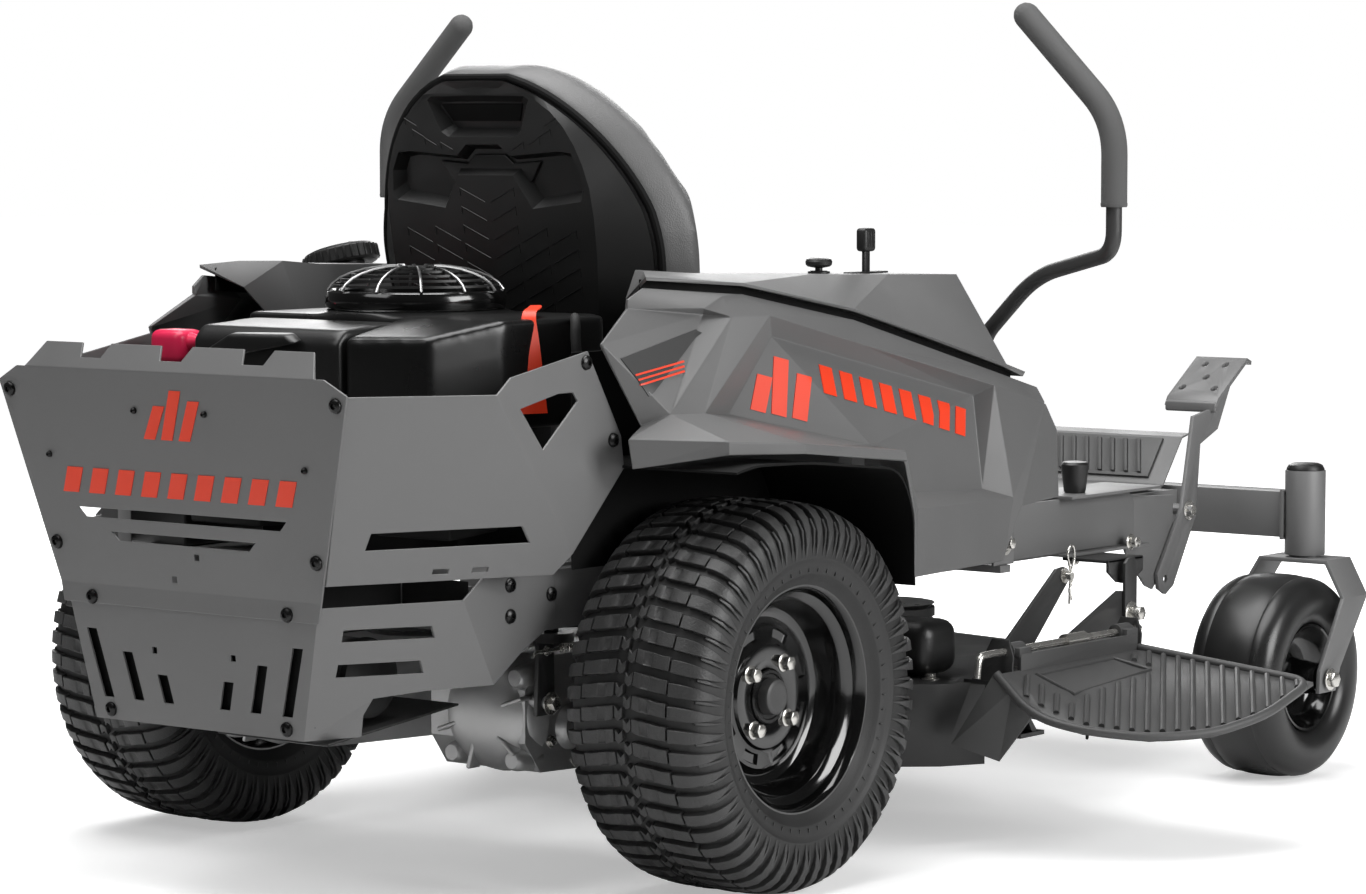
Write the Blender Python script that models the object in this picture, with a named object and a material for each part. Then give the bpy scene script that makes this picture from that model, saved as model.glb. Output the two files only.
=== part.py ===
# Zero turn mower built as separate named pieces, each moving piece on its own joint point
import math

import bmesh
import bpy
from mathutils import Vector

# Shared fits and stock
GAP = 0.0003
RUN_GAP = 0.0005
SHEET = 0.003
MOULDING = 0.004
SIDES = (("right", 1), ("left", -1))

# Distance between the rear axle and the caster axles
WHEELBASE = 1.256

# Rear wheels
WHEEL_FACETS = 32
RIM_FACETS = 20
REAR_TRACK = 0.915
TYRE_RADIUS = 0.252
TYRE_HALF_WIDTH = 0.108
BEAD_RADIUS = 0.127
RIM_HALF_WIDTH = 0.0846
RIM_LIP_RADIUS = 0.1455
DISC_FACE = 0.0336
DISC_THICKNESS = 0.0045
HUB_PILOT = 0.0355
HUB_FLANGE = 0.068
AXLE_RADIUS = 0.0159
AXLE_HEIGHT = TYRE_RADIUS * math.cos(math.pi / WHEEL_FACETS)
REAR_WHEEL_X = REAR_TRACK / 2

# Casters
CASTER_FACETS = 24
CASTER_RADIUS = 0.153
CASTER_HALF_WIDTH = 0.072
CASTER_RIM_RADIUS = 0.076
CASTER_X = 0.510
CASTER_TRAIL = 0.087
CASTER_WHEEL_Y = WHEELBASE
CASTER_SWIVEL_Y = CASTER_WHEEL_Y + CASTER_TRAIL
CASTER_HEIGHT = CASTER_RADIUS * math.cos(math.pi / CASTER_FACETS)
CASTER_AXLE = 0.0095
CASTER_HUB = 0.078
FORK_LEG_X = 0.087
FORK_PLATE = 0.0064
FORK_TOP_Z = 0.3225
STEM_RADIUS = 0.016
BARREL_RADIUS = 0.0305
BARREL_LOW = 0.326
BARREL_TOP = 0.4535

# Frame
RAIL_OUTER = 0.300
RAIL_WIDTH = 0.038
RAIL_LOW = 0.340
RAIL_TOP = 0.415
RAIL_REAR = -0.325
RAIL_FRONT = CASTER_SWIVEL_Y - 0.003
BEAM_DEPTH = 0.050
BEAM_LOW = 0.352
BEAM_TOP = 0.4205
BEAM_END = 0.487
ENGINE_PLATE_TOP = 0.4195
SEAT_HINGE_Y = 0.535
SEAT_HINGE_Z = 0.598
SEAT_PIN = 0.0050

# Seat: the back leans between its low and top points, and its pad is narrower where it meets the shell
SEAT_PAN_TOP = SEAT_HINGE_Z + 0.032
BACK_LOW_Y = 0.133
BACK_LOW_Z = SEAT_PAN_TOP + 0.025
BACK_HEIGHT = 0.407
BACK_LEAN = 0.069
BACK_BOW = 0.058
BACK_HALF = 0.264
BACK_WIDEST = 0.39
BACK_ROUND = 0.63
BACK_EDGE = 0.050
BACK_FULL = 0.088
BACK_TUCK = 0.89
SHELL_DEPTH = 0.042
SHELL_INSET = 0.006
SHELL_PAN_HALF = 0.190
BASE_REAR = 0.258
BASE_FRONT = 0.585
BASE_HALF = 0.238
BASE_EDGE = 0.030
BASE_FULL = 0.078
BASE_CORNER = 0.030

# Rear guard sheets: slope is the lean of the upper panel
PANEL_FOLD_Z = 0.397
PANEL_FOLD_Y = -0.5355
PANEL_LEAN = 0.1337
PANEL_BEND_Z = 0.6705
PANEL_LIP_Z = 0.702
PANEL_LIP_Y = -0.5505
PANEL_LOW_HALF = 0.223
PANEL_HIGH_HALF = 0.297
PANEL_HIGH_Z = 0.652
GUARD_TOP_Z = 0.390
GUARD_LOW_Z = 0.224
GUARD_TOP_HALF = 0.215
GUARD_LOW_HALF = 0.178
GUARD_TOP_Y = -0.5320
GUARD_LOW_Y = -0.5190
GUARD_TAB_X = RAIL_OUTER + GAP + SHEET
WING_X = 0.380

# Engine and drive
CRANK_Y = -0.107
CRANK_RADIUS = 0.0175
SHROUD_LOW = 0.590
SHROUD_TOP = 0.735
FAN_WELL = 0.102
FAN_RADIUS = 0.094
FAN_BLADES = 10
GUARD_RING = 0.1195
GUARD_CROWN_Z = SHROUD_TOP + 0.054
DRIVE_Z = 0.375
DRIVE_PULLEY = 0.042
INPUT_PULLEY = 0.060
INPUT_X = 0.165
INPUT_Y = -0.030
PTO_Z = 0.321
PTO_PULLEY = 0.056
CASING_INNER = 0.105
CASING_OUTER = 0.262
CASING_REAR = -0.200
CASING_FRONT = 0.120
CASING_LOW = 0.142
CASING_TOP = 0.300
ARM_Y = -0.185
ARM_Z = 0.245
ARM_PIN = 0.008
BATTERY_OUTER = -0.338
BATTERY_INNER = -0.236
BATTERY_REAR = -0.298
BATTERY_FRONT = -0.148
BATTERY_TOP = 0.655

# Deck
SPINDLE_X = 0.255
SPINDLE_RIGHT_Y = 0.600
SPINDLE_LEFT_Y = 0.700
DECK_RADIUS = 0.2925
DECK_TOP = 0.222
DECK_LOW = 0.110
DECK_STEEL = 0.004
BLADE_LENGTH = 0.500
BLADE_WIDTH = 0.060
BLADE_Z = 0.135
SPINDLE_RADIUS = 0.0125
SPINDLE_HOUSING = 0.050
DECK_PULLEY = 0.062
DECK_BELT_Z = 0.290
CHUTE_ROD_X = 0.555
CHUTE_ROD_Z = 0.268
CHUTE_ROD = 0.005
CHUTE_EAR_REAR = 0.452
CHUTE_EAR_FRONT = 0.782
EAR_PLATE = 0.004
CHUTE_HINGE_X = 0.572
CHUTE_REACH = 0.8655
CHUTE_REAR = 0.400
CHUTE_CORNER = 0.766

# Levers and controls
LEVER_Y = 0.682
LEVER_Z = 0.598
LEVER_PIN = 0.008
SWING_X = 0.362
SWING_Z = 0.612
SWING_PIN = 0.006
LEVER_TUBE = 0.0110
LEVER_ELBOW_X = 0.476
LEVER_ELBOW_Z = 0.765
LEVER_OUTER_X = 0.6465
LEVER_OUTER_Y = 0.574
LEVER_RISE_Z = 0.802
GRIP_RADIUS = 0.0178
GRIP_FACETS = 12
GRIP_LOW_Z = 0.864
GRIP_KNEE_Z = 0.980
GRIP_TIP_X = 0.496
GRIP_TIP_Z = 1.130
LEVER_REACH = LEVER_OUTER_X + GRIP_RADIUS * math.cos(math.pi / GRIP_FACETS)
PEDAL_X = 0.375
PEDAL_Y = CASTER_SWIVEL_Y - 0.120
PEDAL_Z = 0.394
PEDAL_PLATE = 0.006
PEDAL_PIN = 0.009
KNOB_X = 0.365
KNOB_Y = 0.924
INDEX_Z = 0.438
PIN_RADIUS = 0.007
THROTTLE_X = 0.345
THROTTLE_Y = 0.425
PTO_KNOB_X = 0.345
PTO_KNOB_Y = 0.316

# Fenders and consoles: the seam between them runs from the rear end to the nose
SEAM = ((0.384, -0.112, 0.769), (0.425, 0.036, 0.758), (0.452, 0.243, 0.719), (0.465, 0.557, 0.638),
        (0.470, 0.660, 0.611))
CONSOLE_INNER = 0.300
CONSOLE_EDGE = 0.385
CAP_CENTRE = Vector((-0.412, 0.201, 0.7855))
CAP_TILT = math.radians(17)
CAP_RADIUS = 0.055
NECK_RADIUS = 0.032

FINISHES = {
    "powder": ((0.13, 0.13, 0.135), 0.55, 0.3),
    "black steel": ((0.02, 0.02, 0.021), 0.45, 0.4),
    "gloss black": ((0.008, 0.008, 0.009), 0.15, 0.3),
    "moulding": ((0.055, 0.055, 0.056), 0.6, 0.0),
    "black moulding": ((0.012, 0.012, 0.012), 0.5, 0.0),
    "tyre": ((0.022, 0.022, 0.022), 0.85, 0.0),
    "rubber": ((0.018, 0.018, 0.018), 0.75, 0.0),
    "casting": ((0.45, 0.45, 0.44), 0.5, 0.8),
    "zinc": ((0.60, 0.59, 0.56), 0.3, 1.0),
    "steel": ((0.45, 0.45, 0.46), 0.35, 1.0),
    "vinyl": ((0.05, 0.05, 0.052), 0.55, 0.0),
}


class Body:
    def __init__(self, name, point, parent=None):
        self.point = Vector(point)
        self.empty = bpy.data.objects.new(name, None)
        bpy.context.scene.collection.objects.link(self.empty)
        self.empty.location = self.point - (parent.point if parent else box_centre())
        if parent:
            self.empty.parent = parent.empty


def box_centre():
    rear = panel_y(PANEL_BEND_Z)
    front = CASTER_WHEEL_Y + CASTER_HEIGHT
    return Vector(((CHUTE_REACH - LEVER_REACH) / 2, (front + rear) / 2, 0.0))


def finish(name, kind):
    colour, roughness, metallic = FINISHES[kind]
    material = bpy.data.materials.new(name)
    material.use_nodes = True
    shader = material.node_tree.nodes["Principled BSDF"]
    shader.inputs["Base Color"].default_value = (*colour, 1.0)
    shader.inputs["Roughness"].default_value = roughness
    shader.inputs["Metallic"].default_value = metallic
    return material


def put(name, shape, body):
    bmesh.ops.translate(shape, verts=shape.verts, vec=-body.point)
    mesh = bpy.data.meshes.new(name)
    shape.to_mesh(mesh)
    shape.free()
    item = bpy.data.objects.new(name, mesh)
    item.parent = body.empty
    bpy.context.scene.collection.objects.link(item)
    return item


def part(name, kind, body, shape):
    item = put(name, shape, body)
    item.data.materials.append(finish(name, kind))
    return item


def helper(name, shapes, body):
    item = put(name, joined(shapes), body)
    item.hide_render = True
    item.display_type = "WIRE"
    return item


def combine(item, body, shapes, operation):
    step = item.modifiers.new(operation.lower(), "BOOLEAN")
    step.operation = operation
    step.solver = "EXACT"
    step.use_self = True
    step.object = helper(item.name + " " + operation.lower(), shapes, body)


def add(item, body, *shapes):
    combine(item, body, shapes, "UNION")


def cut(item, body, *shapes):
    combine(item, body, shapes, "DIFFERENCE")


def thicken(item, thickness):
    step = item.modifiers.new("thickness", "SOLIDIFY")
    step.thickness = thickness
    step.offset = -1.0
    step.use_even_offset = True


def joined(shapes):
    whole = bmesh.new()
    for shape in shapes:
        mesh = bpy.data.meshes.new("joined")
        shape.to_mesh(mesh)
        shape.free()
        whole.from_mesh(mesh)
        bpy.data.meshes.remove(mesh)
    return whole


def closed(shape):
    bmesh.ops.recalc_face_normals(shape, faces=shape.faces)
    return shape


def sided(shape, sign):
    if sign < 0:
        for vert in shape.verts:
            vert.co.x = -vert.co.x
        bmesh.ops.reverse_faces(shape, faces=shape.faces)
    return shape


def span(sign, low, high):
    return (low, high) if sign > 0 else (-high, -low)


def block(x, y, z):
    shape = bmesh.new()
    bmesh.ops.create_cube(shape, size=1.0)
    for vert in shape.verts:
        vert.co = [low + (high - low) * (at + 0.5) for (low, high), at in zip((x, y, z), vert.co)]
    return shape


def skin(shape, rings):
    for near, far in zip(rings, rings[1:]):
        for i in range(len(near)):
            j = (i + 1) % len(near)
            shape.faces.new((near[i], near[j], far[j], far[i]))


def prism(outline, axis, low, high):
    shape = bmesh.new()
    rings = []
    for level in (low, high):
        spots = {
            "X": [(level, a, b) for a, b in outline],
            "Y": [(a, level, b) for a, b in outline],
            "Z": [(a, b, level) for a, b in outline],
        }[axis]
        rings.append([shape.verts.new(spot) for spot in spots])
    skin(shape, rings)
    for ring in rings:
        shape.faces.new(ring)
    return closed(shape)


def turned(profile, centre, axis, facets):
    shape = bmesh.new()
    along = Vector(axis).normalized()
    twist = along.to_track_quat("Z", "Y")
    rings = []
    for place, radius in profile:
        middle = Vector(centre) + along * place
        count = facets if radius > 0 else 1
        ring = []
        for k in range(count):
            angle = (k + 0.5) * math.tau / facets
            out = twist @ Vector((math.cos(angle), math.sin(angle), 0.0))
            ring.append(shape.verts.new(middle + out * radius))
        rings.append(ring)
    for near, far in zip(rings, rings[1:] + rings[:1]):
        for i in range(facets):
            j = (i + 1) % facets
            corners = []
            for vert in (near[i % len(near)], near[j % len(near)], far[j % len(far)], far[i % len(far)]):
                if vert not in corners:
                    corners.append(vert)
            if len(corners) > 2:
                shape.faces.new(corners)
    return closed(shape)


def rod(start, end, radius, facets=12):
    length = (Vector(end) - Vector(start)).length
    axis = Vector(end) - Vector(start)
    return turned(((0, 0), (0, radius), (length, radius), (length, 0)), start, axis, facets)


def rounded(points, radius, steps=3):
    spots = [Vector(spot) for spot in points]
    path = [spots[0]]
    for before, corner, after in zip(spots, spots[1:], spots[2:]):
        start = corner + (before - corner).normalized() * radius
        end = corner + (after - corner).normalized() * radius
        for k in range(steps + 1):
            t = k / steps
            path.append(start * (1 - t) ** 2 + corner * 2 * t * (1 - t) + end * t ** 2)
    return path + [spots[-1]]


def swept(path, radius, facets=8):
    shape = bmesh.new()
    rings = []
    normal = (path[1] - path[0]).orthogonal()
    for i, spot in enumerate(path):
        ahead = (path[min(i + 1, len(path) - 1)] - path[max(i - 1, 0)]).normalized()
        normal = (normal - ahead * normal.dot(ahead)).normalized()
        across = ahead.cross(normal)
        angles = [k * math.tau / facets for k in range(facets)]
        rings.append([shape.verts.new(spot + (normal * math.cos(a) + across * math.sin(a)) * radius)
                      for a in angles])
    skin(shape, rings)
    shape.faces.new(rings[0])
    shape.faces.new(rings[-1])
    return closed(shape)


def sheet(faces, sign=1):
    shape = bmesh.new()
    for face in faces:
        shape.faces.new([shape.verts.new(spot) for spot in face])
    bmesh.ops.remove_doubles(shape, verts=shape.verts, dist=0.00005)
    bmesh.ops.triangulate(shape, faces=shape.faces)
    return sided(shape, sign)


def between(start, end, t):
    return tuple(a + (b - a) * t for a, b in zip(start, end))


def strung(circles, step):
    spots = []
    for x, y, radius, level in circles:
        for k in range(int(math.tau / step)):
            angle = k * step
            spots.append((x + radius * math.cos(angle), y + radius * math.sin(angle), angle,
                          (x, y, radius, level)))
    spots.sort(key=lambda spot: spot[:2])
    chains = []
    for run in (spots, spots[::-1]):
        chain = []
        for spot in run:
            while len(chain) > 1 and turn(chain[-2], chain[-1], spot) <= 0:
                chain.pop()
            chain.append(spot)
        chains.append(chain[:-1])
    return chains[0] + chains[1]


def turn(a, b, c):
    return (b[0] - a[0]) * (c[1] - a[1]) - (b[1] - a[1]) * (c[0] - a[0])


def belt(circles, width, depth):
    step = math.tau / 24
    loop = strung(circles, step)
    shape = bmesh.new()
    rings = []
    for _, _, angle, (x, y, radius, level) in loop:
        out = Vector((math.cos(angle), math.sin(angle), 0))
        centre = Vector((x, y, level))
        ring = []
        for reach, half in ((GAP, width * 0.26), (depth, width / 2)):
            for up in (-half, half):
                ring.append(centre + out * (radius / math.cos(step / 2) + reach) + Vector((0, 0, up)))
        rings.append([shape.verts.new(ring[i]) for i in (0, 1, 3, 2)])
    skin(shape, rings + rings[:1])
    return closed(shape)


def grooved(level, radius, width, depth):
    flange = radius + depth
    return [(level - width, flange), (level - width * 0.36, radius), (level + width * 0.36, radius),
            (level + width, flange)]


def wheel_profile(half_width, radius, seat, wall):
    crown = half_width * 0.66
    outer = [(crown, radius), (half_width * 0.92, radius - wall * 1.3), (half_width, radius * 0.83),
             (half_width * 0.95, seat + (radius - seat) * 0.35), (half_width * 0.72, seat + GAP)]
    inner = [(half_width * 0.60, seat + GAP), (half_width * 0.86, radius * 0.80),
             (crown, radius - wall * 2.0)]
    right = outer + inner
    return right + [(-x, r) for x, r in reversed(right)]


# Frame and guards
def make_frame(body):
    rail_inner = RAIL_OUTER - RAIL_WIDTH
    beam_y = (CASTER_SWIVEL_Y - BEAM_DEPTH / 2, CASTER_SWIVEL_Y + BEAM_DEPTH / 2)
    base = block((-BEAM_END, BEAM_END), beam_y, (BEAM_LOW, BEAM_TOP))
    shapes = [
        block((-0.285, 0.285), (-0.350, -0.315), (0.350, 0.405)),
        block((-0.282, 0.282), (-0.300, 0.050), (0.4095, ENGINE_PLATE_TOP)),
        block((-0.275, 0.275), (0.470, 0.508), (0.350, 0.403)),
        block((-0.292, 0.292), (0.468, 0.510), (0.560, 0.580)),
    ]
    for _, sign in SIDES:
        shapes += [
            block(span(sign, rail_inner, RAIL_OUTER), (RAIL_REAR, RAIL_FRONT), (RAIL_LOW, RAIL_TOP)),
            block(span(sign, 0.150, 0.188), (-0.505, -0.340), (0.354, 0.400)),
            block(span(sign, 0.154, 0.184), (-0.502, -0.480), (0.380, 0.600)),
            block(span(sign, 0.266, 0.288), (0.474, 0.504), (0.395, 0.575)),
            block(span(sign, 0.118, 0.130), (0.495, 0.545), (0.565, SEAT_HINGE_Z + 0.010)),
            block(span(sign, 0.266, 0.322), (0.664, 0.700), (0.395, 0.412)),
            block(span(sign, 0.302, 0.320), (0.668, 0.696), (0.400, LEVER_Z + 0.012)),
            block(span(sign, 0.290, 0.490), (0.540, 0.565), (0.362, 0.372)),
            block(span(sign, 0.250, 0.286), (-0.045, 0.045), (0.303, 0.350)),
            rod((sign * 0.310, LEVER_Y, LEVER_Z), (sign * 0.343, LEVER_Y, LEVER_Z), LEVER_PIN),
            turned(((BARREL_LOW, STEM_RADIUS + RUN_GAP), (BARREL_LOW, BARREL_RADIUS),
                    (BARREL_TOP, BARREL_RADIUS), (BARREL_TOP, STEM_RADIUS + RUN_GAP)),
                   (sign * CASTER_X, CASTER_SWIVEL_Y, 0), (0, 0, 1), 16),
        ]
    shapes += [
        rod((-0.128, SEAT_HINGE_Y, SEAT_HINGE_Z), (0.128, SEAT_HINGE_Y, SEAT_HINGE_Z), SEAT_PIN),
        rod((0.290, PEDAL_Y, PEDAL_Z), (PEDAL_X + 0.012, PEDAL_Y, PEDAL_Z), PEDAL_PIN),
        block((0.2965, 0.3025), (KNOB_Y - 0.059, KNOB_Y + 0.181), (0.395, INDEX_Z)),
        block((0.2985, KNOB_X + 0.035), (KNOB_Y - 0.062, KNOB_Y + 0.184),
              (INDEX_Z - 0.002, INDEX_Z + 0.002)),
        block((0.2950, KNOB_X + 0.030), (KNOB_Y - 0.064, KNOB_Y + 0.161), (0.352, 0.356)),
    ]
    frame = part("main_frame", "powder", body, base)
    add(frame, body, *shapes)
    cut(frame, body,
        rod((0, CRANK_Y, 0.39), (0, CRANK_Y, 0.43), 0.062, 20),
        rod((KNOB_X, KNOB_Y, 0.33), (KNOB_X, KNOB_Y, 0.46), PIN_RADIUS + RUN_GAP))


def make_foot_deck(body):
    floor_z = BEAM_TOP + GAP + SHEET
    half = 0.292
    toe = CASTER_SWIVEL_Y + 0.002
    rows = [(0.585, 0.550), (0.615, floor_z), (toe - 0.055, floor_z), (toe, floor_z + 0.070),
            (toe + 0.023, floor_z + 0.075)]
    faces = []
    for (y0, z0), (y1, z1) in zip(rows, rows[1:]):
        faces.append([(-half, y0, z0), (half, y0, z0), (half, y1, z1), (-half, y1, z1)])
    pan = part("foot_pan", "powder", body, sheet(faces))
    thicken(pan, SHEET)
    cut(pan, body, block((-0.33, -0.262), (0.55, 0.72), (0.38, 0.60)),
        block((0.262, 0.33), (0.55, 0.72), (0.38, 0.60)))

    mat = 0.004
    rise = Vector((0, rows[3][0] - rows[2][0], rows[3][1] - rows[2][1]))
    lift = Vector((0, -rise.z, rise.y)).normalized()
    foot = Vector((0, rows[2][0], rows[2][1])) + rise * 0.12
    head = Vector((0, rows[2][0], rows[2][1])) + rise * 0.93

    def slab(low, high, x0, x1, tuck):
        ends = [foot + rise * tuck, head - rise * tuck]
        outline = [(spot + lift * level)[1:] for spot, level in
                   ((ends[0], low), (ends[1], low), (ends[1], high), (ends[0], high))]
        return prism([(spot[0], spot[1]) for spot in outline], "X", x0, x1)

    ribs = 21
    pitch = 0.0235
    slant = 0.028
    bars = []
    for k in range(ribs):
        middle = (k - (ribs - 1) / 2) * pitch
        bar = slab(mat * 0.5, mat + 0.004, middle - 0.0035, middle + 0.0035, 0.07)
        for vert in bar.verts:
            vert.co.x += slant * (0.5 - (vert.co.z - foot.z) / (head.z - foot.z))
        bars.append(bar)
    tread = part("foot_mat", "rubber", body, slab(GAP, GAP + mat, -0.262, 0.262, 0.0))
    add(tread, body, *bars)


def panel_y(z):
    return PANEL_FOLD_Y - PANEL_LEAN * (z - PANEL_FOLD_Z)


def make_rear_panel(body):
    bend_half = 0.247
    lip_half = 0.2285
    notch_z = 0.684
    notches = ((0.1385, 0.025, 0.017), (0.0, 0.0265, 0.018), (-0.1385, 0.025, 0.017))
    main = [(-PANEL_LOW_HALF, PANEL_FOLD_Z), (PANEL_LOW_HALF, PANEL_FOLD_Z),
            (PANEL_HIGH_HALF, PANEL_HIGH_Z), (0.262, PANEL_BEND_Z), (bend_half, PANEL_BEND_Z),
            (-bend_half, PANEL_BEND_Z), (-0.262, PANEL_BEND_Z), (-PANEL_HIGH_HALF, PANEL_HIGH_Z)]
    top = [(lip_half, PANEL_LIP_Z)]
    for middle, wide, narrow in notches:
        top += [(middle + wide, PANEL_LIP_Z), (middle + narrow, notch_z),
                (middle - narrow, notch_z), (middle - wide, PANEL_LIP_Z)]
    top.append((-lip_half, PANEL_LIP_Z))
    bend_y = panel_y(PANEL_BEND_Z)
    lean = (PANEL_LIP_Y - bend_y) / (PANEL_LIP_Z - PANEL_BEND_Z)
    lip = [(-bend_half, PANEL_BEND_Z), (bend_half, PANEL_BEND_Z)] + top
    flange_z = PANEL_FOLD_Z - 0.025
    flange = [(-0.218, flange_z), (0.218, flange_z), (PANEL_LOW_HALF, PANEL_FOLD_Z),
              (-PANEL_LOW_HALF, PANEL_FOLD_Z)]
    faces = [[(x, panel_y(z), z) for x, z in main],
             [(x, bend_y + lean * (z - PANEL_BEND_Z), z) for x, z in lip],
             [(x, PANEL_FOLD_Y, z) for x, z in flange]]
    panel = part("rear_panel", "powder", body, sheet(faces))
    thicken(panel, SHEET)
    holes = []
    for half_top, half_low, top_z, low_z in ((0.178, 0.166, 0.4945, 0.4825),
                                             (0.1225, 0.1115, 0.4655, 0.4545)):
        holes.append([(-half_low, low_z), (half_low, low_z), (half_top, top_z), (-half_top, top_z)])
    for x, z in ((0.021, 0.441), (-0.021, 0.411)):
        holes.append([(x - 0.004, z - 0.004), (x + 0.004, z - 0.004), (x + 0.004, z + 0.004),
                      (x - 0.004, z + 0.004)])
    cut(panel, body, *[prism(hole, "Y", -0.62, -0.50) for hole in holes])


def make_lower_guard(body):
    low = (GUARD_LOW_HALF, GUARD_LOW_Y, GUARD_LOW_Z)
    top = (GUARD_TOP_HALF, GUARD_TOP_Y, GUARD_TOP_Z)
    bend_top = (GUARD_TAB_X, -0.366, 0.392)
    bend_low = (GUARD_TAB_X, -0.3095, 0.282)
    side = [low, (0.216, -0.457, 0.226), (0.223, -0.461, 0.254), (0.231, -0.452, 0.274),
            (0.264, -0.390, 0.280),
            bend_low, bend_top, top]
    tab = [bend_low, (GUARD_TAB_X, -0.255, 0.318), (GUARD_TAB_X, -0.190, 0.350),
           (GUARD_TAB_X, -0.190, 0.412),
           (GUARD_TAB_X, -0.325, 0.420), bend_top]
    rear = [(-low[0], *low[1:]), low, top, (-top[0], *top[1:])]
    faces = [rear, side, tab]
    for face in (side, tab):
        faces.append([(-x, y, z) for x, y, z in reversed(face)])
    guard = part("lower_guard", "powder", body, sheet(faces))
    thicken(guard, SHEET)
    holes = []
    for rear_y, tip_y, low_z, high_z in ((-0.499, -0.392, 0.347, 0.362), (-0.498, -0.398, 0.303, 0.319)):
        holes.append(prism([(rear_y, low_z), (tip_y, low_z), (tip_y - 0.006, high_z), (rear_y, high_z)],
                           "X", -0.40, 0.40))
    for _, sign in SIDES:
        for high_x, low_x, high_z in ((0.177, 0.153, 0.339), (0.116, 0.100, 0.313),
                                      (0.057, 0.048, 0.288)):
            slot = [(sign * (low_x - 0.0085), 0.2525), (sign * (low_x + 0.0085), 0.2525),
                    (sign * (high_x + 0.0085), high_z), (sign * (high_x - 0.0085), high_z)]
            holes.append(prism(slot, "Y", -0.60, -0.50))
        holes.append(block(span(sign, 0.0635, 0.0715), (-0.60, -0.505), (0.3145, 0.3225)))
    cut(guard, body, *holes)


def make_wing(body, side, sign):
    inset = SHEET + GAP
    low_z, top_z = 0.418, 0.650
    fold_low = (0.231, panel_y(low_z) + inset, low_z)
    fold_top = (0.292, panel_y(top_z) + inset, top_z)
    bend_low = (WING_X, -0.250, 0.443)
    bend_top = (WING_X, -0.392, 0.648)
    main = [fold_low, (0.364, -0.267, 0.419), bend_low, bend_top, fold_top]
    front = [bend_low, (WING_X, -0.146, 0.545), (WING_X, -0.152, 0.585), (WING_X, -0.218, 0.694),
             (WING_X, -0.366, 0.668), bend_top]
    flange = [(fold_low[0] - 0.030, *fold_low[1:]), fold_low, fold_top,
              (fold_top[0] - 0.030, *fold_top[1:])]
    wing = part("wing_" + side, "powder", body, sheet([main, front, flange], sign))
    thicken(wing, SHEET)
    long_slot = [(-0.500, 0.461), (-0.306, 0.462), (-0.320, 0.483), (-0.498, 0.482)]
    window = [(-0.348, 0.629), (-0.305, 0.577), (-0.238, 0.633), (-0.247, 0.644), (-0.275, 0.644)]
    ends = span(sign, 0.20, 0.42)
    slots = [prism(long_slot, "X", *ends), prism(window, "X", *ends)]
    for rear_y in (-0.414, -0.367):
        slots.append(block(ends, (rear_y, rear_y + 0.019), (0.4275, 0.4335)))
    cut(wing, body, *slots)


# Fenders and consoles
def seam_at(y):
    for start, end in zip(SEAM, SEAM[1:]):
        if y <= end[1] or end is SEAM[-1]:
            return between(start, end, (y - start[1]) / (end[1] - start[1]))


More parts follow.
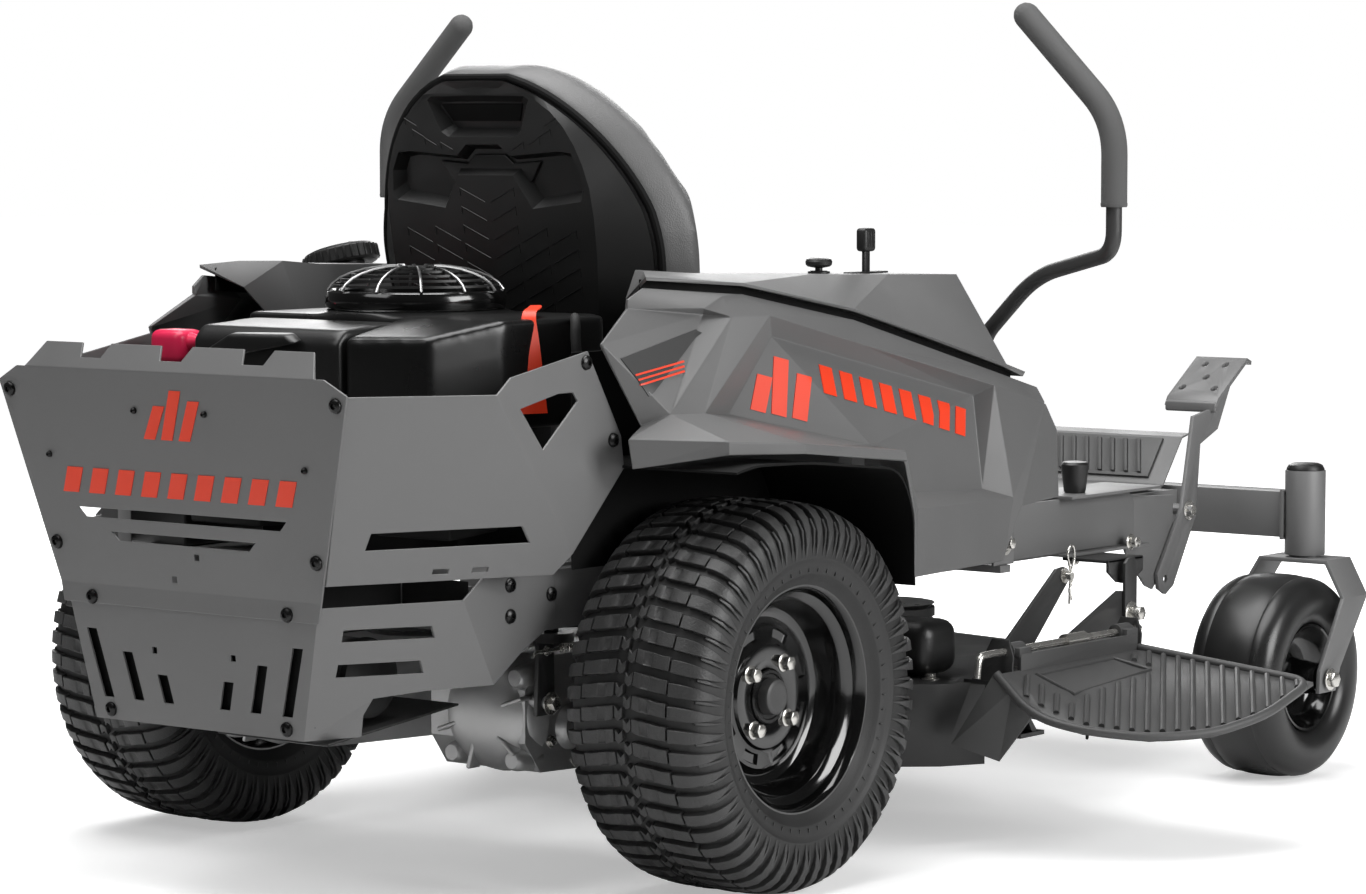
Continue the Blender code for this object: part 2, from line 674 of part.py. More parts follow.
def make_fender(body, side, sign):
    fin = [(0.378, -0.137, 0.755), (0.378, -0.137, 0.744), (0.412, -0.025, 0.741), (0.418, 0.006, 0.756)]
    facet_top = [(0.392, -0.207, 0.703), (0.405, -0.018, 0.733)]
    facet_low = (0.412, -0.153, 0.599)
    pillar_low = [(0.436, -0.124, 0.613), (0.456, -0.079, 0.613)]
    pillar_top = [(0.436, 0.003, 0.730), (0.450, 0.065, 0.730)]
    rim_front = [(0.485, 0.531, 0.620), (0.505, 0.549, 0.466)]
    rim_middle = between(pillar_top[1], rim_front[0], 0.41)
    rim_low = (0.545, 0.262, 0.473)
    floor_rear = [(0.434, 0.090, 0.702), (0.440, -0.010, 0.607)]
    floor_low = [(0.497, 0.225, 0.556), (0.500, 0.320, 0.489)]
    floor_front = [(0.483, 0.505, 0.480), (0.460, 0.515, 0.606)]
    lip_top = [(0.430, -0.202, 0.586), (0.530, -0.127, 0.583), (0.560, -0.009, 0.575),
               (0.560, 0.212, 0.553)]
    lip_low = [(0.430, -0.193, 0.548), (0.530, -0.127, 0.566), (0.560, -0.005, 0.562),
               (0.560, 0.216, 0.540)]
    arch = [(0.560, 0.234, 0.469), (0.560, 0.234, 0.387)]
    skirt = [(0.520, 0.502, 0.384), (0.510, 0.563, 0.454)]
    nose = [(0.468, 0.721, 0.454), (0.468, 0.715, 0.549), (0.480, 0.667, 0.588)]
    inner_nose = [(0.395, 0.735, 0.454), (0.395, 0.729, 0.549), (0.400, 0.690, 0.590)]
    faces = [
        [fin[0], fin[1], fin[2], fin[3], SEAM[0]],
        [fin[3], fin[2], pillar_top[0], pillar_top[1], SEAM[1], SEAM[0]],
        [fin[1], facet_top[0], facet_top[1], fin[2]],
        [fin[2], facet_top[1], pillar_top[0]],
        [facet_top[0], facet_low, pillar_low[0], pillar_top[0], facet_top[1]],
        [pillar_low[0], pillar_low[1], pillar_top[1], pillar_top[0]],
        [pillar_low[1], floor_rear[1], floor_rear[0], pillar_top[1]],
        [pillar_top[1], rim_middle, SEAM[2], SEAM[1]],
        [rim_middle, rim_front[0], SEAM[3], SEAM[2]],
        [rim_front[0], nose[2], SEAM[4], SEAM[3]],
        [pillar_top[1], floor_rear[0], floor_front[1], rim_front[0], rim_middle],
        [rim_front[0], floor_front[1], floor_front[0], rim_front[1]],
        [rim_front[1], floor_front[0], floor_low[1], rim_low],
        [floor_rear[1], floor_low[0], floor_low[1], floor_front[0], floor_front[1], floor_rear[0]],
        [rim_front[0], rim_front[1], skirt[1], nose[0], nose[1], nose[2]],
        [arch[0], arch[1], skirt[0], skirt[1], rim_front[1], rim_low],
        [floor_low[0], lip_top[3], lip_low[3], arch[0], rim_low, floor_low[1]],
        [facet_low, lip_top[0], lip_top[1], pillar_low[1], pillar_low[0]],
        [pillar_low[1], lip_top[1], lip_top[2], floor_rear[1]],
        [floor_rear[1], lip_top[2], lip_top[3], floor_low[0]],
        [nose[0], inner_nose[0], inner_nose[1], nose[1]],
        [nose[1], inner_nose[1], inner_nose[2], nose[2]],
    ]
    for k in range(3):
        faces.append([lip_top[k], lip_low[k], lip_low[k + 1], lip_top[k + 1]])
    fender = part("fender_" + side, "moulding", body, sheet(faces, sign))
    thicken(fender, MOULDING)


def console_top(y):
    return 0.787 - 0.020 * (y + 0.15) / 0.75


def make_console(body, side, sign):
    overhang = Vector((0.003, 0, 0.014))
    stations = [[(0.332, -0.083, 0.753), (0.307, -0.032, 0.788), (0.352, -0.072, 0.788),
                 tuple(Vector(SEAM[0]) + overhang)]]
    for y, top in ((0.036, console_top(0.036)), (0.243, console_top(0.243)), (0.420, console_top(0.420)),
                   (0.585, console_top(0.585)), (0.628, 0.660)):
        outer = Vector(seam_at(y)) + overhang
        stations.append([(CONSOLE_INNER, y, 0.630), (CONSOLE_INNER, y, top), (CONSOLE_EDGE, y, top),
                         tuple(outer)])
    faces = [stations[0][::-1], stations[-1]]
    for near, far in zip(stations, stations[1:]):
        for i in range(3):
            faces.append([near[i], near[i + 1], far[i + 1], far[i]])
    console = part("console_" + side, "moulding", body, sheet(faces, sign))
    thicken(console, MOULDING)
    if side == "left":
        lean = Vector((-math.sin(CAP_TILT), 0, math.cos(CAP_TILT)))
        cut(console, body,
            rod(CAP_CENTRE - lean * 0.09, CAP_CENTRE + lean * 0.05, NECK_RADIUS + 0.004, 20),
            rod(CAP_CENTRE - lean * 0.0150, CAP_CENTRE + lean * 0.05, CAP_RADIUS + 0.003, 20))
    else:
        cut(console, body,
            block((THROTTLE_X - 0.004, THROTTLE_X + 0.004), (THROTTLE_Y - 0.035, THROTTLE_Y + 0.035),
                  (0.75, 0.80)),
            rod((PTO_KNOB_X, PTO_KNOB_Y, 0.74), (PTO_KNOB_X, PTO_KNOB_Y, 0.80), 0.0055))


def make_tank(body, cap_body):
    lean = Vector((-math.sin(CAP_TILT), 0, math.cos(CAP_TILT)))
    tank = part("fuel_tank", "black moulding", body,
                block((-0.418, -0.312), (0.050, 0.420), (0.560, 0.702)))
    add(tank, body, rod(CAP_CENTRE - lean * 0.125, CAP_CENTRE - lean * 0.014, NECK_RADIUS, 20))
    rim = CAP_RADIUS
    cap = turned(((-0.0137, 0), (-0.0137, rim), (0.009, rim), (0.0135, rim * 0.9), (0.0135, 0)),
                 CAP_CENTRE, lean, 20)
    part("fuel_cap", "black moulding", cap_body, cap)


# Engine and drive
def make_engine(body, rotor):
    base = ENGINE_PLATE_TOP + GAP
    case = [(-0.150, -0.010), (-0.170, -0.090), (-0.150, -0.200), (0.150, -0.200), (0.170, -0.090),
            (0.150, -0.010)]
    engine = part("engine_block", "casting", body, prism(case, "Z", base, SHROUD_LOW - 0.005))
    heads = []
    for sign in (1, -1):
        heads.append(prism([(sign * 0.060, -0.150), (sign * 0.185, -0.160), (sign * 0.225, -0.300),
                            (sign * 0.100, -0.300)], "Z", base + 0.035, SHROUD_LOW - 0.018))
    add(engine, body, *heads)
    cut(engine, body, rod((0, CRANK_Y, base - 0.02), (0, CRANK_Y, SHROUD_LOW + 0.01),
                          CRANK_RADIUS + RUN_GAP, 16))

    outline = [(-0.190, -0.003), (-0.190, -0.228), (0.088, -0.228), (0.088, -0.345), (0.215, -0.330),
               (0.258, -0.235), (0.258, -0.035), (0.225, -0.003)]
    shroud = part("engine_shroud", "black moulding", body,
                  prism(outline, "Z", SHROUD_LOW, SHROUD_TOP - 0.006))
    add(shroud, body, rod((0, CRANK_Y, SHROUD_TOP - 0.03), (0, CRANK_Y, SHROUD_TOP), GUARD_RING + 0.001,
                          24))
    over = SHROUD_TOP + 0.065
    slope = [(-0.40, SHROUD_TOP - 0.040), (-0.40, over), (-0.10, over), (-0.228, SHROUD_TOP - 0.005)]
    cut(shroud, body, rod((0, CRANK_Y, SHROUD_LOW - 0.04), (0, CRANK_Y, over), FAN_WELL, 24),
        prism(slope, "X", 0.03, 0.30))

    cover_low = SHROUD_LOW + 0.010
    cover_top = SHROUD_TOP - 0.013
    cover = [(-0.2285, cover_low), (-0.352, cover_low), (-0.352, cover_top - 0.022),
             (-0.338, cover_top - 0.006),
             (-0.250, cover_top), (-0.2285, cover_top)]
    part("air_cleaner_cover", "moulding", body, prism(cover, "X", -0.168, 0.085))

    ring = GUARD_RING
    low = SHROUD_TOP + GAP
    dome = [(low, ring), (low + 0.018, ring), (low + 0.022, ring - 0.008), (low + 0.038, ring - 0.022),
            (GUARD_CROWN_Z - 0.004, 0.070), (GUARD_CROWN_Z, 0.030), (GUARD_CROWN_Z, 0.0),
            (GUARD_CROWN_Z - 0.004, 0.0),
            (GUARD_CROWN_Z - 0.008, 0.068), (low + 0.034, ring - 0.026), (low + 0.018, ring - 0.013),
            (low, ring - 0.013)]
    guard = part("fan_guard", "gloss black", body, turned(dome, (0, CRANK_Y, 0), (0, 0, 1), 24))
    slots = []
    for k in range(12):
        angle = (k + 0.5) * math.tau / 12
        out = Vector((math.cos(angle), math.sin(angle), 0))
        across = Vector((-out.y, out.x, 0))
        corners = [out * 0.036 + across * 0.007, out * 0.036 - across * 0.007,
                   out * 0.088 - across * 0.019, out * 0.088 + across * 0.019]
        slots.append(prism([(spot.x, spot.y + CRANK_Y) for spot in corners], "Z", low + 0.025,
                           GUARD_CROWN_Z + 0.01))
    cut(guard, body, *slots)

    hub = [(0.306, 0.0), (0.306, 0.014), (PTO_Z - 0.012, 0.014)] + grooved(PTO_Z, PTO_PULLEY, 0.012,
                                                                           0.010)
    hub += [(PTO_Z + 0.012, 0.020), (DRIVE_Z - 0.012, 0.020)] + grooved(DRIVE_Z, DRIVE_PULLEY, 0.012,
                                                                        0.010)
    disc = SHROUD_LOW + 0.050
    nose = SHROUD_TOP - 0.020
    hub += [(DRIVE_Z + 0.012, CRANK_RADIUS), (disc, CRANK_RADIUS), (disc, FAN_RADIUS - 0.004),
            (disc + 0.012, FAN_RADIUS), (disc + 0.012, 0.024), (nose, 0.020), (nose, 0.0)]
    spinner = part("engine_rotor", "casting", rotor, turned(hub, (0, CRANK_Y, 0), (0, 0, 1), 16))
    vanes = []
    for k in range(FAN_BLADES):
        angle = k * math.tau / FAN_BLADES
        out = Vector((math.cos(angle), math.sin(angle), 0))
        across = Vector((-out.y, out.x, 0)) * 0.0025
        corners = [out * 0.045 + across, out * 0.045 - across, out * 0.086 - across, out * 0.086 + across]
        vanes.append(prism([(spot.x, spot.y + CRANK_Y) for spot in corners], "Z", disc + 0.008,
                           nose - 0.015))
    add(spinner, rotor, *vanes)


def make_drive(body, inputs, arms):
    circles = [(0, CRANK_Y, DRIVE_PULLEY, DRIVE_Z)]
    for side, sign in SIDES:
        circles.append((sign * INPUT_X, INPUT_Y, INPUT_PULLEY, DRIVE_Z))
        inner, outer = span(sign, CASING_INNER, CASING_OUTER)
        low, high = CASING_LOW, CASING_TOP
        case = [(CASING_REAR, low + 0.050), (CASING_REAR + 0.030, low + 0.010),
                (CASING_FRONT - 0.040, low),
                (CASING_FRONT, low + 0.040), (CASING_FRONT, high - 0.030), (CASING_FRONT - 0.030, high),
                (CASING_REAR + 0.050, high), (CASING_REAR, high - 0.040)]
        box = part("transaxle_" + side, "casting", body, prism(case, "X", inner, outer))
        horn = turned(((0.240, AXLE_RADIUS + RUN_GAP), (0.240, 0.056), (0.285, 0.042), (0.346, 0.038),
                       (0.346, AXLE_RADIUS + RUN_GAP)), (0, 0, AXLE_HEIGHT), (sign, 0, 0), 16)
        pin = rod((sign * 0.250, ARM_Y, ARM_Z), (sign * 0.292, ARM_Y, ARM_Z), ARM_PIN)
        lug = rod((sign * INPUT_X, INPUT_Y, 0.290), (sign * INPUT_X, INPUT_Y, 0.312), 0.030, 16)
        add(box, body, horn, pin, lug)
        cut(box, body,
            rod((sign * INPUT_X, INPUT_Y, 0.270), (sign * INPUT_X, INPUT_Y, 0.35), 0.0095 + RUN_GAP),
            rod((sign * 0.22, 0, AXLE_HEIGHT), (sign * 0.40, 0, AXLE_HEIGHT), AXLE_RADIUS + RUN_GAP, 16))
        wheel = [(0.280, 0.0), (0.280, 0.0095), (DRIVE_Z - 0.012, 0.0095)]
        wheel += grooved(DRIVE_Z, INPUT_PULLEY, 0.012, 0.010) + [(DRIVE_Z + 0.012, 0.0)]
        part("input_pulley_" + side, "black steel", inputs[side],
             turned(wheel, (sign * INPUT_X, INPUT_Y, 0), (0, 0, 1), 16))

        plate = [(ARM_Y - 0.018, ARM_Z - 0.016), (ARM_Y + 0.018, ARM_Z - 0.016), (ARM_Y + 0.016, 0.318),
                 (ARM_Y - 0.014, 0.322)]
        lever = part("control_arm_" + side, "black steel", arms[side],
                     prism(plate, "X", *span(sign, 0.2780, 0.2840)))
        cut(lever, arms[side], rod((sign * 0.26, ARM_Y, ARM_Z), (sign * 0.30, ARM_Y, ARM_Z),
                                   ARM_PIN + RUN_GAP))
    part("drive_belt", "rubber", body, belt(circles, 0.012, 0.009))
    part("muffler", "black steel", body, rod((-0.170, -0.405, 0.290), (0.190, -0.405, 0.290), 0.050, 16))
    part("battery", "black moulding", body,
         block((BATTERY_OUTER, BATTERY_INNER), (BATTERY_REAR, BATTERY_FRONT),
               (ENGINE_PLATE_TOP + GAP, BATTERY_TOP)))


# Wheels
def make_rear_wheel(body, side, sign):
    centre = (sign * REAR_WHEEL_X, 0, AXLE_HEIGHT)
    axis = (sign, 0, 0)
    tyre = wheel_profile(TYRE_HALF_WIDTH, TYRE_RADIUS, BEAD_RADIUS, 0.010)
    part("rear_tyre_" + side, "tyre", body, turned(tyre, centre, axis, WHEEL_FACETS))
    lip = RIM_HALF_WIDTH
    seat_x = TYRE_HALF_WIDTH * 0.72 + 0.001
    steel = 0.004
    flange = RIM_LIP_RADIUS - 0.012
    seat = BEAD_RADIUS - 0.001
    outside = [(lip, flange), (seat_x, seat), (seat_x - 0.030, seat), (0.036, 0.113), (-0.036, 0.113),
               (-seat_x + 0.030, seat), (-seat_x, seat), (-lip, flange)]
    inside = [(-lip - steel, flange), (-seat_x, seat - steel), (-0.034, 0.113 - steel),
              (DISC_FACE - 0.012, 0.113 - steel), (DISC_FACE - DISC_THICKNESS, 0.088),
              (DISC_FACE - DISC_THICKNESS, HUB_PILOT + GAP), (DISC_FACE, HUB_PILOT + GAP),
              (DISC_FACE, 0.086),
              (DISC_FACE - 0.004, 0.113 - steel), (seat_x, seat - steel), (lip + steel, flange)]
    part("rear_rim_" + side, "gloss black", body, turned(outside + inside, centre, axis, RIM_FACETS))
    back = DISC_FACE - DISC_THICKNESS - GAP
    inner = 0.238 - REAR_WHEEL_X
    hub = [(inner, 0), (inner, AXLE_RADIUS), (-0.040, AXLE_RADIUS), (-0.040, 0.032),
           (back - 0.009, 0.036),
           (back - 0.009, HUB_FLANGE), (back, HUB_FLANGE), (back, HUB_PILOT),
           (DISC_FACE + 0.006, HUB_PILOT),
           (DISC_FACE + 0.008, HUB_PILOT - 0.004), (DISC_FACE + 0.008, 0)]
    part("rear_hub_" + side, "steel", body, turned(hub, centre, axis, RIM_FACETS))


def make_caster(swivel, spin, side, sign):
    x = sign * CASTER_X
    centre = (x, CASTER_WHEEL_Y, CASTER_HEIGHT)
    axis = (sign, 0, 0)
    tyre = wheel_profile(CASTER_HALF_WIDTH, CASTER_RADIUS, CASTER_RIM_RADIUS, 0.009)
    part("caster_tyre_" + side, "tyre", spin, turned(tyre, centre, axis, CASTER_FACETS))
    seat = CASTER_HALF_WIDTH * 0.72 + 0.004
    tread = CASTER_RIM_RADIUS - 0.0015
    rim = [(seat, tread), (-seat, tread), (-seat, 0.062), (-0.020, 0.050), (-0.024, 0.022),
           (-CASTER_HUB, 0.019), (-CASTER_HUB, CASTER_AXLE + RUN_GAP),
           (CASTER_HUB, CASTER_AXLE + RUN_GAP),
           (CASTER_HUB, 0.019), (0.024, 0.022), (0.020, 0.050), (seat, 0.062)]
    part("caster_rim_" + side, "gloss black", spin, turned(rim, centre, axis, CASTER_FACETS // 2))
    leg = FORK_LEG_X + FORK_PLATE / 2
    rows = [(leg, CASTER_WHEEL_Y, 0.132, 0.025), (leg, CASTER_WHEEL_Y + 0.008, 0.165, 0.030),
            (leg, CASTER_SWIVEL_Y - 0.004, 0.268, 0.036),
            (leg - 0.032, CASTER_SWIVEL_Y, FORK_TOP_Z, 0.036)]
    strip = rows + [(-offset, y, z, half) for offset, y, z, half in reversed(rows)]
    faces = []
    for (o0, y0, z0, h0), (o1, y1, z1, h1) in zip(strip, strip[1:]):
        faces.append([(x + o0, y0 - h0, z0), (x + o0, y0 + h0, z0), (x + o1, y1 + h1, z1),
                      (x + o1, y1 - h1, z1)])
    fork = part("caster_fork_" + side, "powder", swivel, sheet(faces))
    thicken(fork, FORK_PLATE)
    nut = 0.0215
    stem = turned(((FORK_TOP_Z - 0.004, 0), (FORK_TOP_Z - 0.004, 0.024), (BARREL_LOW - 0.0006, 0.024),
                   (BARREL_LOW - 0.0006, STEM_RADIUS), (BARREL_TOP + 0.0006, STEM_RADIUS),
                   (BARREL_TOP + 0.0006, nut),
                   (BARREL_TOP + 0.006, nut), (BARREL_TOP + 0.010, nut * 0.8), (BARREL_TOP + 0.010, 0)),
                  (x, CASTER_SWIVEL_Y, 0), (0, 0, 1), 12)
    reach = leg + 0.008
    axle = rod((x - reach, *centre[1:]), (x + reach, *centre[1:]), CASTER_AXLE)
    add(fork, swivel, stem, axle)


# Seat
def cushion(columns, rows, place, depth, crowd=1.0):
    shape = bmesh.new()
    grids = []
    for top in (True, False):
        grid = []
        for j in range(rows + 1):
            v = 1 - (1 - j / rows) ** crowd
            line = []
            for i in range(columns + 1):
                u = 2 * i / columns - 1
                line.append(shape.verts.new(place(u, v, depth(u, v) if top else 0.0)))
            grid.append(line)
        grids.append(grid)
    for grid in grids:
        for j in range(rows):
            for i in range(columns):
                shape.faces.new((grid[j][i], grid[j][i + 1], grid[j + 1][i + 1], grid[j + 1][i]))
    edges = []
    for grid in grids:
        edges.append(grid[0][:-1] + [line[-1] for line in grid[:-1]] + grid[-1][:0:-1]
                     + [line[0] for line in grid[:0:-1]])
    skin(shape, edges)
    return closed(shape)


def puff(u, v, edge, full, channels):
    swell = (1 - abs(u) ** 5) * (1 - abs(2 * v - 1) ** 5)
    depth = edge + (full - edge) * max(swell, 0.0) ** 0.5
    bolster = 0.024 * max(0.0, min(1.0, (abs(u) - 0.50) / 0.25)) * (1 - abs(u) ** 8)
    groove = sum(math.exp(-((v - at) / 0.035) ** 2) for at in channels) * (1 - min(1.0,
                                                                                   abs(u) / 0.66) ** 6)
    return depth + bolster * (1 - abs(2 * v - 1) ** 6) - 0.010 * groove


def back_half(v):
    if v < BACK_WIDEST:
        return BACK_HALF - 0.30 * (BACK_WIDEST - v) ** 2
    return BACK_HALF * math.sqrt(1 - ((v - BACK_WIDEST) / BACK_ROUND) ** 1.7)


def make_seat(seat):
    back_low = Vector((0, BACK_LOW_Y, BACK_LOW_Z))
    rise = Vector((0, -BACK_LEAN, BACK_HEIGHT))
    front = Vector((0, rise.z, -rise.y)).normalized()

    def bowed(v):
        return back_low + rise * v - front * BACK_BOW * max(0.0, 2 * v - 1) ** 1.2

    def on_back(u, v, depth):
        half = back_half(v) * (1.0 if depth else BACK_TUCK)
        height = 0.5 + (v - 0.5) * (1.0 if depth else 0.97)
        return bowed(height) + Vector((u * half, 0, 0)) + front * (GAP + depth)

    part("seat_back_pad", "vinyl", seat,
         cushion(14, 13, on_back, lambda u, v: puff(u, v, BACK_EDGE, BACK_FULL, (0.36, 0.66)), 1.5))

    def on_base(u, v, depth):
        half = BASE_HALF - BASE_CORNER * abs(2 * v - 1) ** 5
        return Vector((u * half, BASE_REAR + (BASE_FRONT - BASE_REAR) * v,
                       SEAT_PAN_TOP + GAP + 0.002 + depth))

    part("seat_base_pad", "vinyl", seat,
         cushion(14, 10, on_base, lambda u, v: puff(u, v, BASE_EDGE, BASE_FULL, (0.34, 0.64))))

    pan_low = SEAT_PAN_TOP - 0.012
    pan_front = BASE_FRONT - 0.012
    rows = [(bowed(v), back_half(v) * BACK_TUCK - SHELL_INSET) for v in (0.96, 0.89, 0.78, 0.62, 0.42,
                                                                         0.0)]
    rows += [(Vector((0, BACK_LOW_Y + 0.048, SEAT_PAN_TOP)), SHELL_PAN_HALF),
             (Vector((0, pan_front, SEAT_PAN_TOP)), SHELL_PAN_HALF)]
    back = [(0.92, 0.24, 0.076), (0.85, 0.40, 0.110), (0.73, 0.74, 0.140), (0.52, 1.0, 0.170),
            (0.30, 1.0, 0.180),
            (0.0, 1.0, 0.176)]
    under = [(bowed(v) - front * SHELL_DEPTH * share, half) for v, share, half in back]
    under += [(Vector((0, BACK_LOW_Y + 0.020, pan_low)), SHELL_PAN_HALF),
              (Vector((0, pan_front, pan_low)), SHELL_PAN_HALF)]
    under.reverse()
    shape = bmesh.new()
    rings = []
    for sign in (-1, 1):
        rings.append([shape.verts.new((sign * half, spot.y, spot.z)) for spot, half in rows + under])
    skin(shape, rings)
    count = len(rows)
    for ring in rings:
        for k in range(count - 1):
            last = 2 * count - 1
            shape.faces.new((ring[k], ring[k + 1], ring[last - k - 1], ring[last - k]))
    shell = part("seat_shell", "black moulding", seat, closed(shape))
    barrel = turned(((-0.112, SEAT_PIN + RUN_GAP), (-0.112, 0.0105), (0.112, 0.0105),
                     (0.112, SEAT_PIN + RUN_GAP)),
                    (0, SEAT_HINGE_Y, SEAT_HINGE_Z), (1, 0, 0), 12)
    web = block((-0.108, 0.108), (SEAT_HINGE_Y - 0.007, SEAT_HINGE_Y + 0.007),
                (SEAT_HINGE_Z + 0.0075, pan_low + 0.004))
    add(shell, seat, barrel, web)


# Levers and small controls
def make_lever(bracket, lever, side, sign):
    y = LEVER_Y
    plate = part("lever_bracket_" + side, "zinc", bracket,
                 sided(block((0.3355, 0.3455), (y - 0.027, y + 0.027), (0.585, SWING_Z)), sign))
    shapes = [rod((0.3235, y, LEVER_Z), (0.3425, y, LEVER_Z), 0.018, 16),
              rod((SWING_X, y - 0.022, SWING_Z), (SWING_X, y + 0.022, SWING_Z), SWING_PIN)]
    for low in (y - 0.0265, y + 0.0175):
        shapes.append(block((0.3405, 0.374), (low, low + 0.009), (0.596, SWING_Z + 0.010)))
    add(plate, bracket, *[sided(shape, sign) for shape in shapes])
    cut(plate, bracket, rod((sign * 0.29, y, LEVER_Z), (sign * 0.3445, y, LEVER_Z), LEVER_PIN + RUN_GAP))

    low = Vector((LEVER_OUTER_X, LEVER_OUTER_Y, GRIP_LOW_Z))
    run = rounded([(SWING_X, y, SWING_Z), (SWING_X + 0.006, y - 0.006, SWING_Z + 0.062),
                   (LEVER_ELBOW_X, y - 0.037, LEVER_ELBOW_Z),
                   (LEVER_OUTER_X, LEVER_OUTER_Y, LEVER_RISE_Z), low], 0.045, 4)
    tube = part("lever_tube_" + side, "black steel", lever, sided(swept(run, LEVER_TUBE), sign))
    eye = rod((SWING_X, y - 0.0165, SWING_Z), (SWING_X, y + 0.0165, SWING_Z), 0.0128, 16)
    add(tube, lever, sided(eye, sign))
    cut(tube, lever, sided(rod((SWING_X, y - 0.03, SWING_Z), (SWING_X, y + 0.03, SWING_Z),
                               SWING_PIN + RUN_GAP, 12), sign))
    grip = rounded([low + Vector((0, 0, GAP)), (LEVER_OUTER_X, LEVER_OUTER_Y, GRIP_KNEE_Z),
                    (GRIP_TIP_X, LEVER_OUTER_Y, GRIP_TIP_Z)], 0.040, 5)
    part("lever_grip_" + side, "rubber", lever, sided(swept(grip, GRIP_RADIUS, GRIP_FACETS), sign))


def make_controls(pedal, height_pin, throttle, knob):
    arm = [(-0.088, -0.090), (-0.084, -0.112), (-0.064, -0.122), (-0.042, -0.110), (0.022, -0.009),
           (0.033, 0.098),
           (0.084, 0.118), (0.133, 0.204), (0.095, 0.178), (0.077, 0.151), (0.013, 0.141),
           (-0.018, 0.006)]
    treadle = part("lift_pedal", "powder", pedal,
                   prism([(PEDAL_Y + y, PEDAL_Z + z) for y, z in arm], "X",
                         PEDAL_X - PEDAL_PLATE / 2, PEDAL_X + PEDAL_PLATE / 2))
    tread = [(0.067, 0.151), (0.075, 0.162), (0.155, 0.216), (0.167, 0.212), (0.168, 0.218),
             (0.155, 0.223), (0.069, 0.166), (0.061, 0.153)]
    add(treadle, pedal, prism([(PEDAL_Y + y, PEDAL_Z + z) for y, z in tread], "X",
                              PEDAL_X - 0.078, PEDAL_X + 0.012))
    holes = [rod((PEDAL_X - 0.02, PEDAL_Y, PEDAL_Z), (PEDAL_X + 0.02, PEDAL_Y, PEDAL_Z),
                 PEDAL_PIN + RUN_GAP),
             rod((PEDAL_X - 0.02, PEDAL_Y - 0.065, PEDAL_Z - 0.099),
                 (PEDAL_X + 0.02, PEDAL_Y - 0.065, PEDAL_Z - 0.099), 0.006)]
    for x, y in ((-0.063, 0.089), (-0.035, 0.112), (-0.007, 0.089), (-0.053, 0.139), (-0.017, 0.139)):
        holes.append(rod((PEDAL_X + x, PEDAL_Y + y, PEDAL_Z + 0.14),
                         (PEDAL_X + x, PEDAL_Y + y, PEDAL_Z + 0.27),
                         0.006, 8))
    cut(treadle, pedal, *holes)

    seat = INDEX_Z + 0.002 + GAP
    pin = [(0.335, 0), (0.335, PIN_RADIUS), (seat, PIN_RADIUS), (seat, 0.0155), (seat + 0.040, 0.0200),
           (seat + 0.045, 0.0180), (seat + 0.045, 0)]
    part("height_pin", "black moulding", height_pin, turned(pin, (KNOB_X, KNOB_Y, 0), (0, 0, 1), 16))

    top = console_top(THROTTLE_Y)
    paddle = [(THROTTLE_Y - 0.006, top - 0.016), (THROTTLE_Y + 0.006, top - 0.016),
              (THROTTLE_Y + 0.009, top + 0.048),
              (THROTTLE_Y - 0.009, top + 0.048)]
    stalk = part("throttle_lever", "black moulding", throttle,
                 prism(paddle, "X", THROTTLE_X - 0.003, THROTTLE_X + 0.003))
    add(stalk, throttle, block((THROTTLE_X - 0.008, THROTTLE_X + 0.008), (THROTTLE_Y - 0.013,
                                                                          THROTTLE_Y + 0.013),
                               (top + 0.040, top + 0.070)))
    top = console_top(PTO_KNOB_Y)
    button = [(top - 0.020, 0), (top - 0.020, 0.005), (top + 0.008, 0.005), (top + 0.010, 0.016),
              (top + 0.016, 0.018),
              (top + 0.021, 0.015), (top + 0.021, 0)]
    part("pto_knob", "black moulding", knob, turned(button, (PTO_KNOB_X, PTO_KNOB_Y, 0), (0, 0, 1), 16))


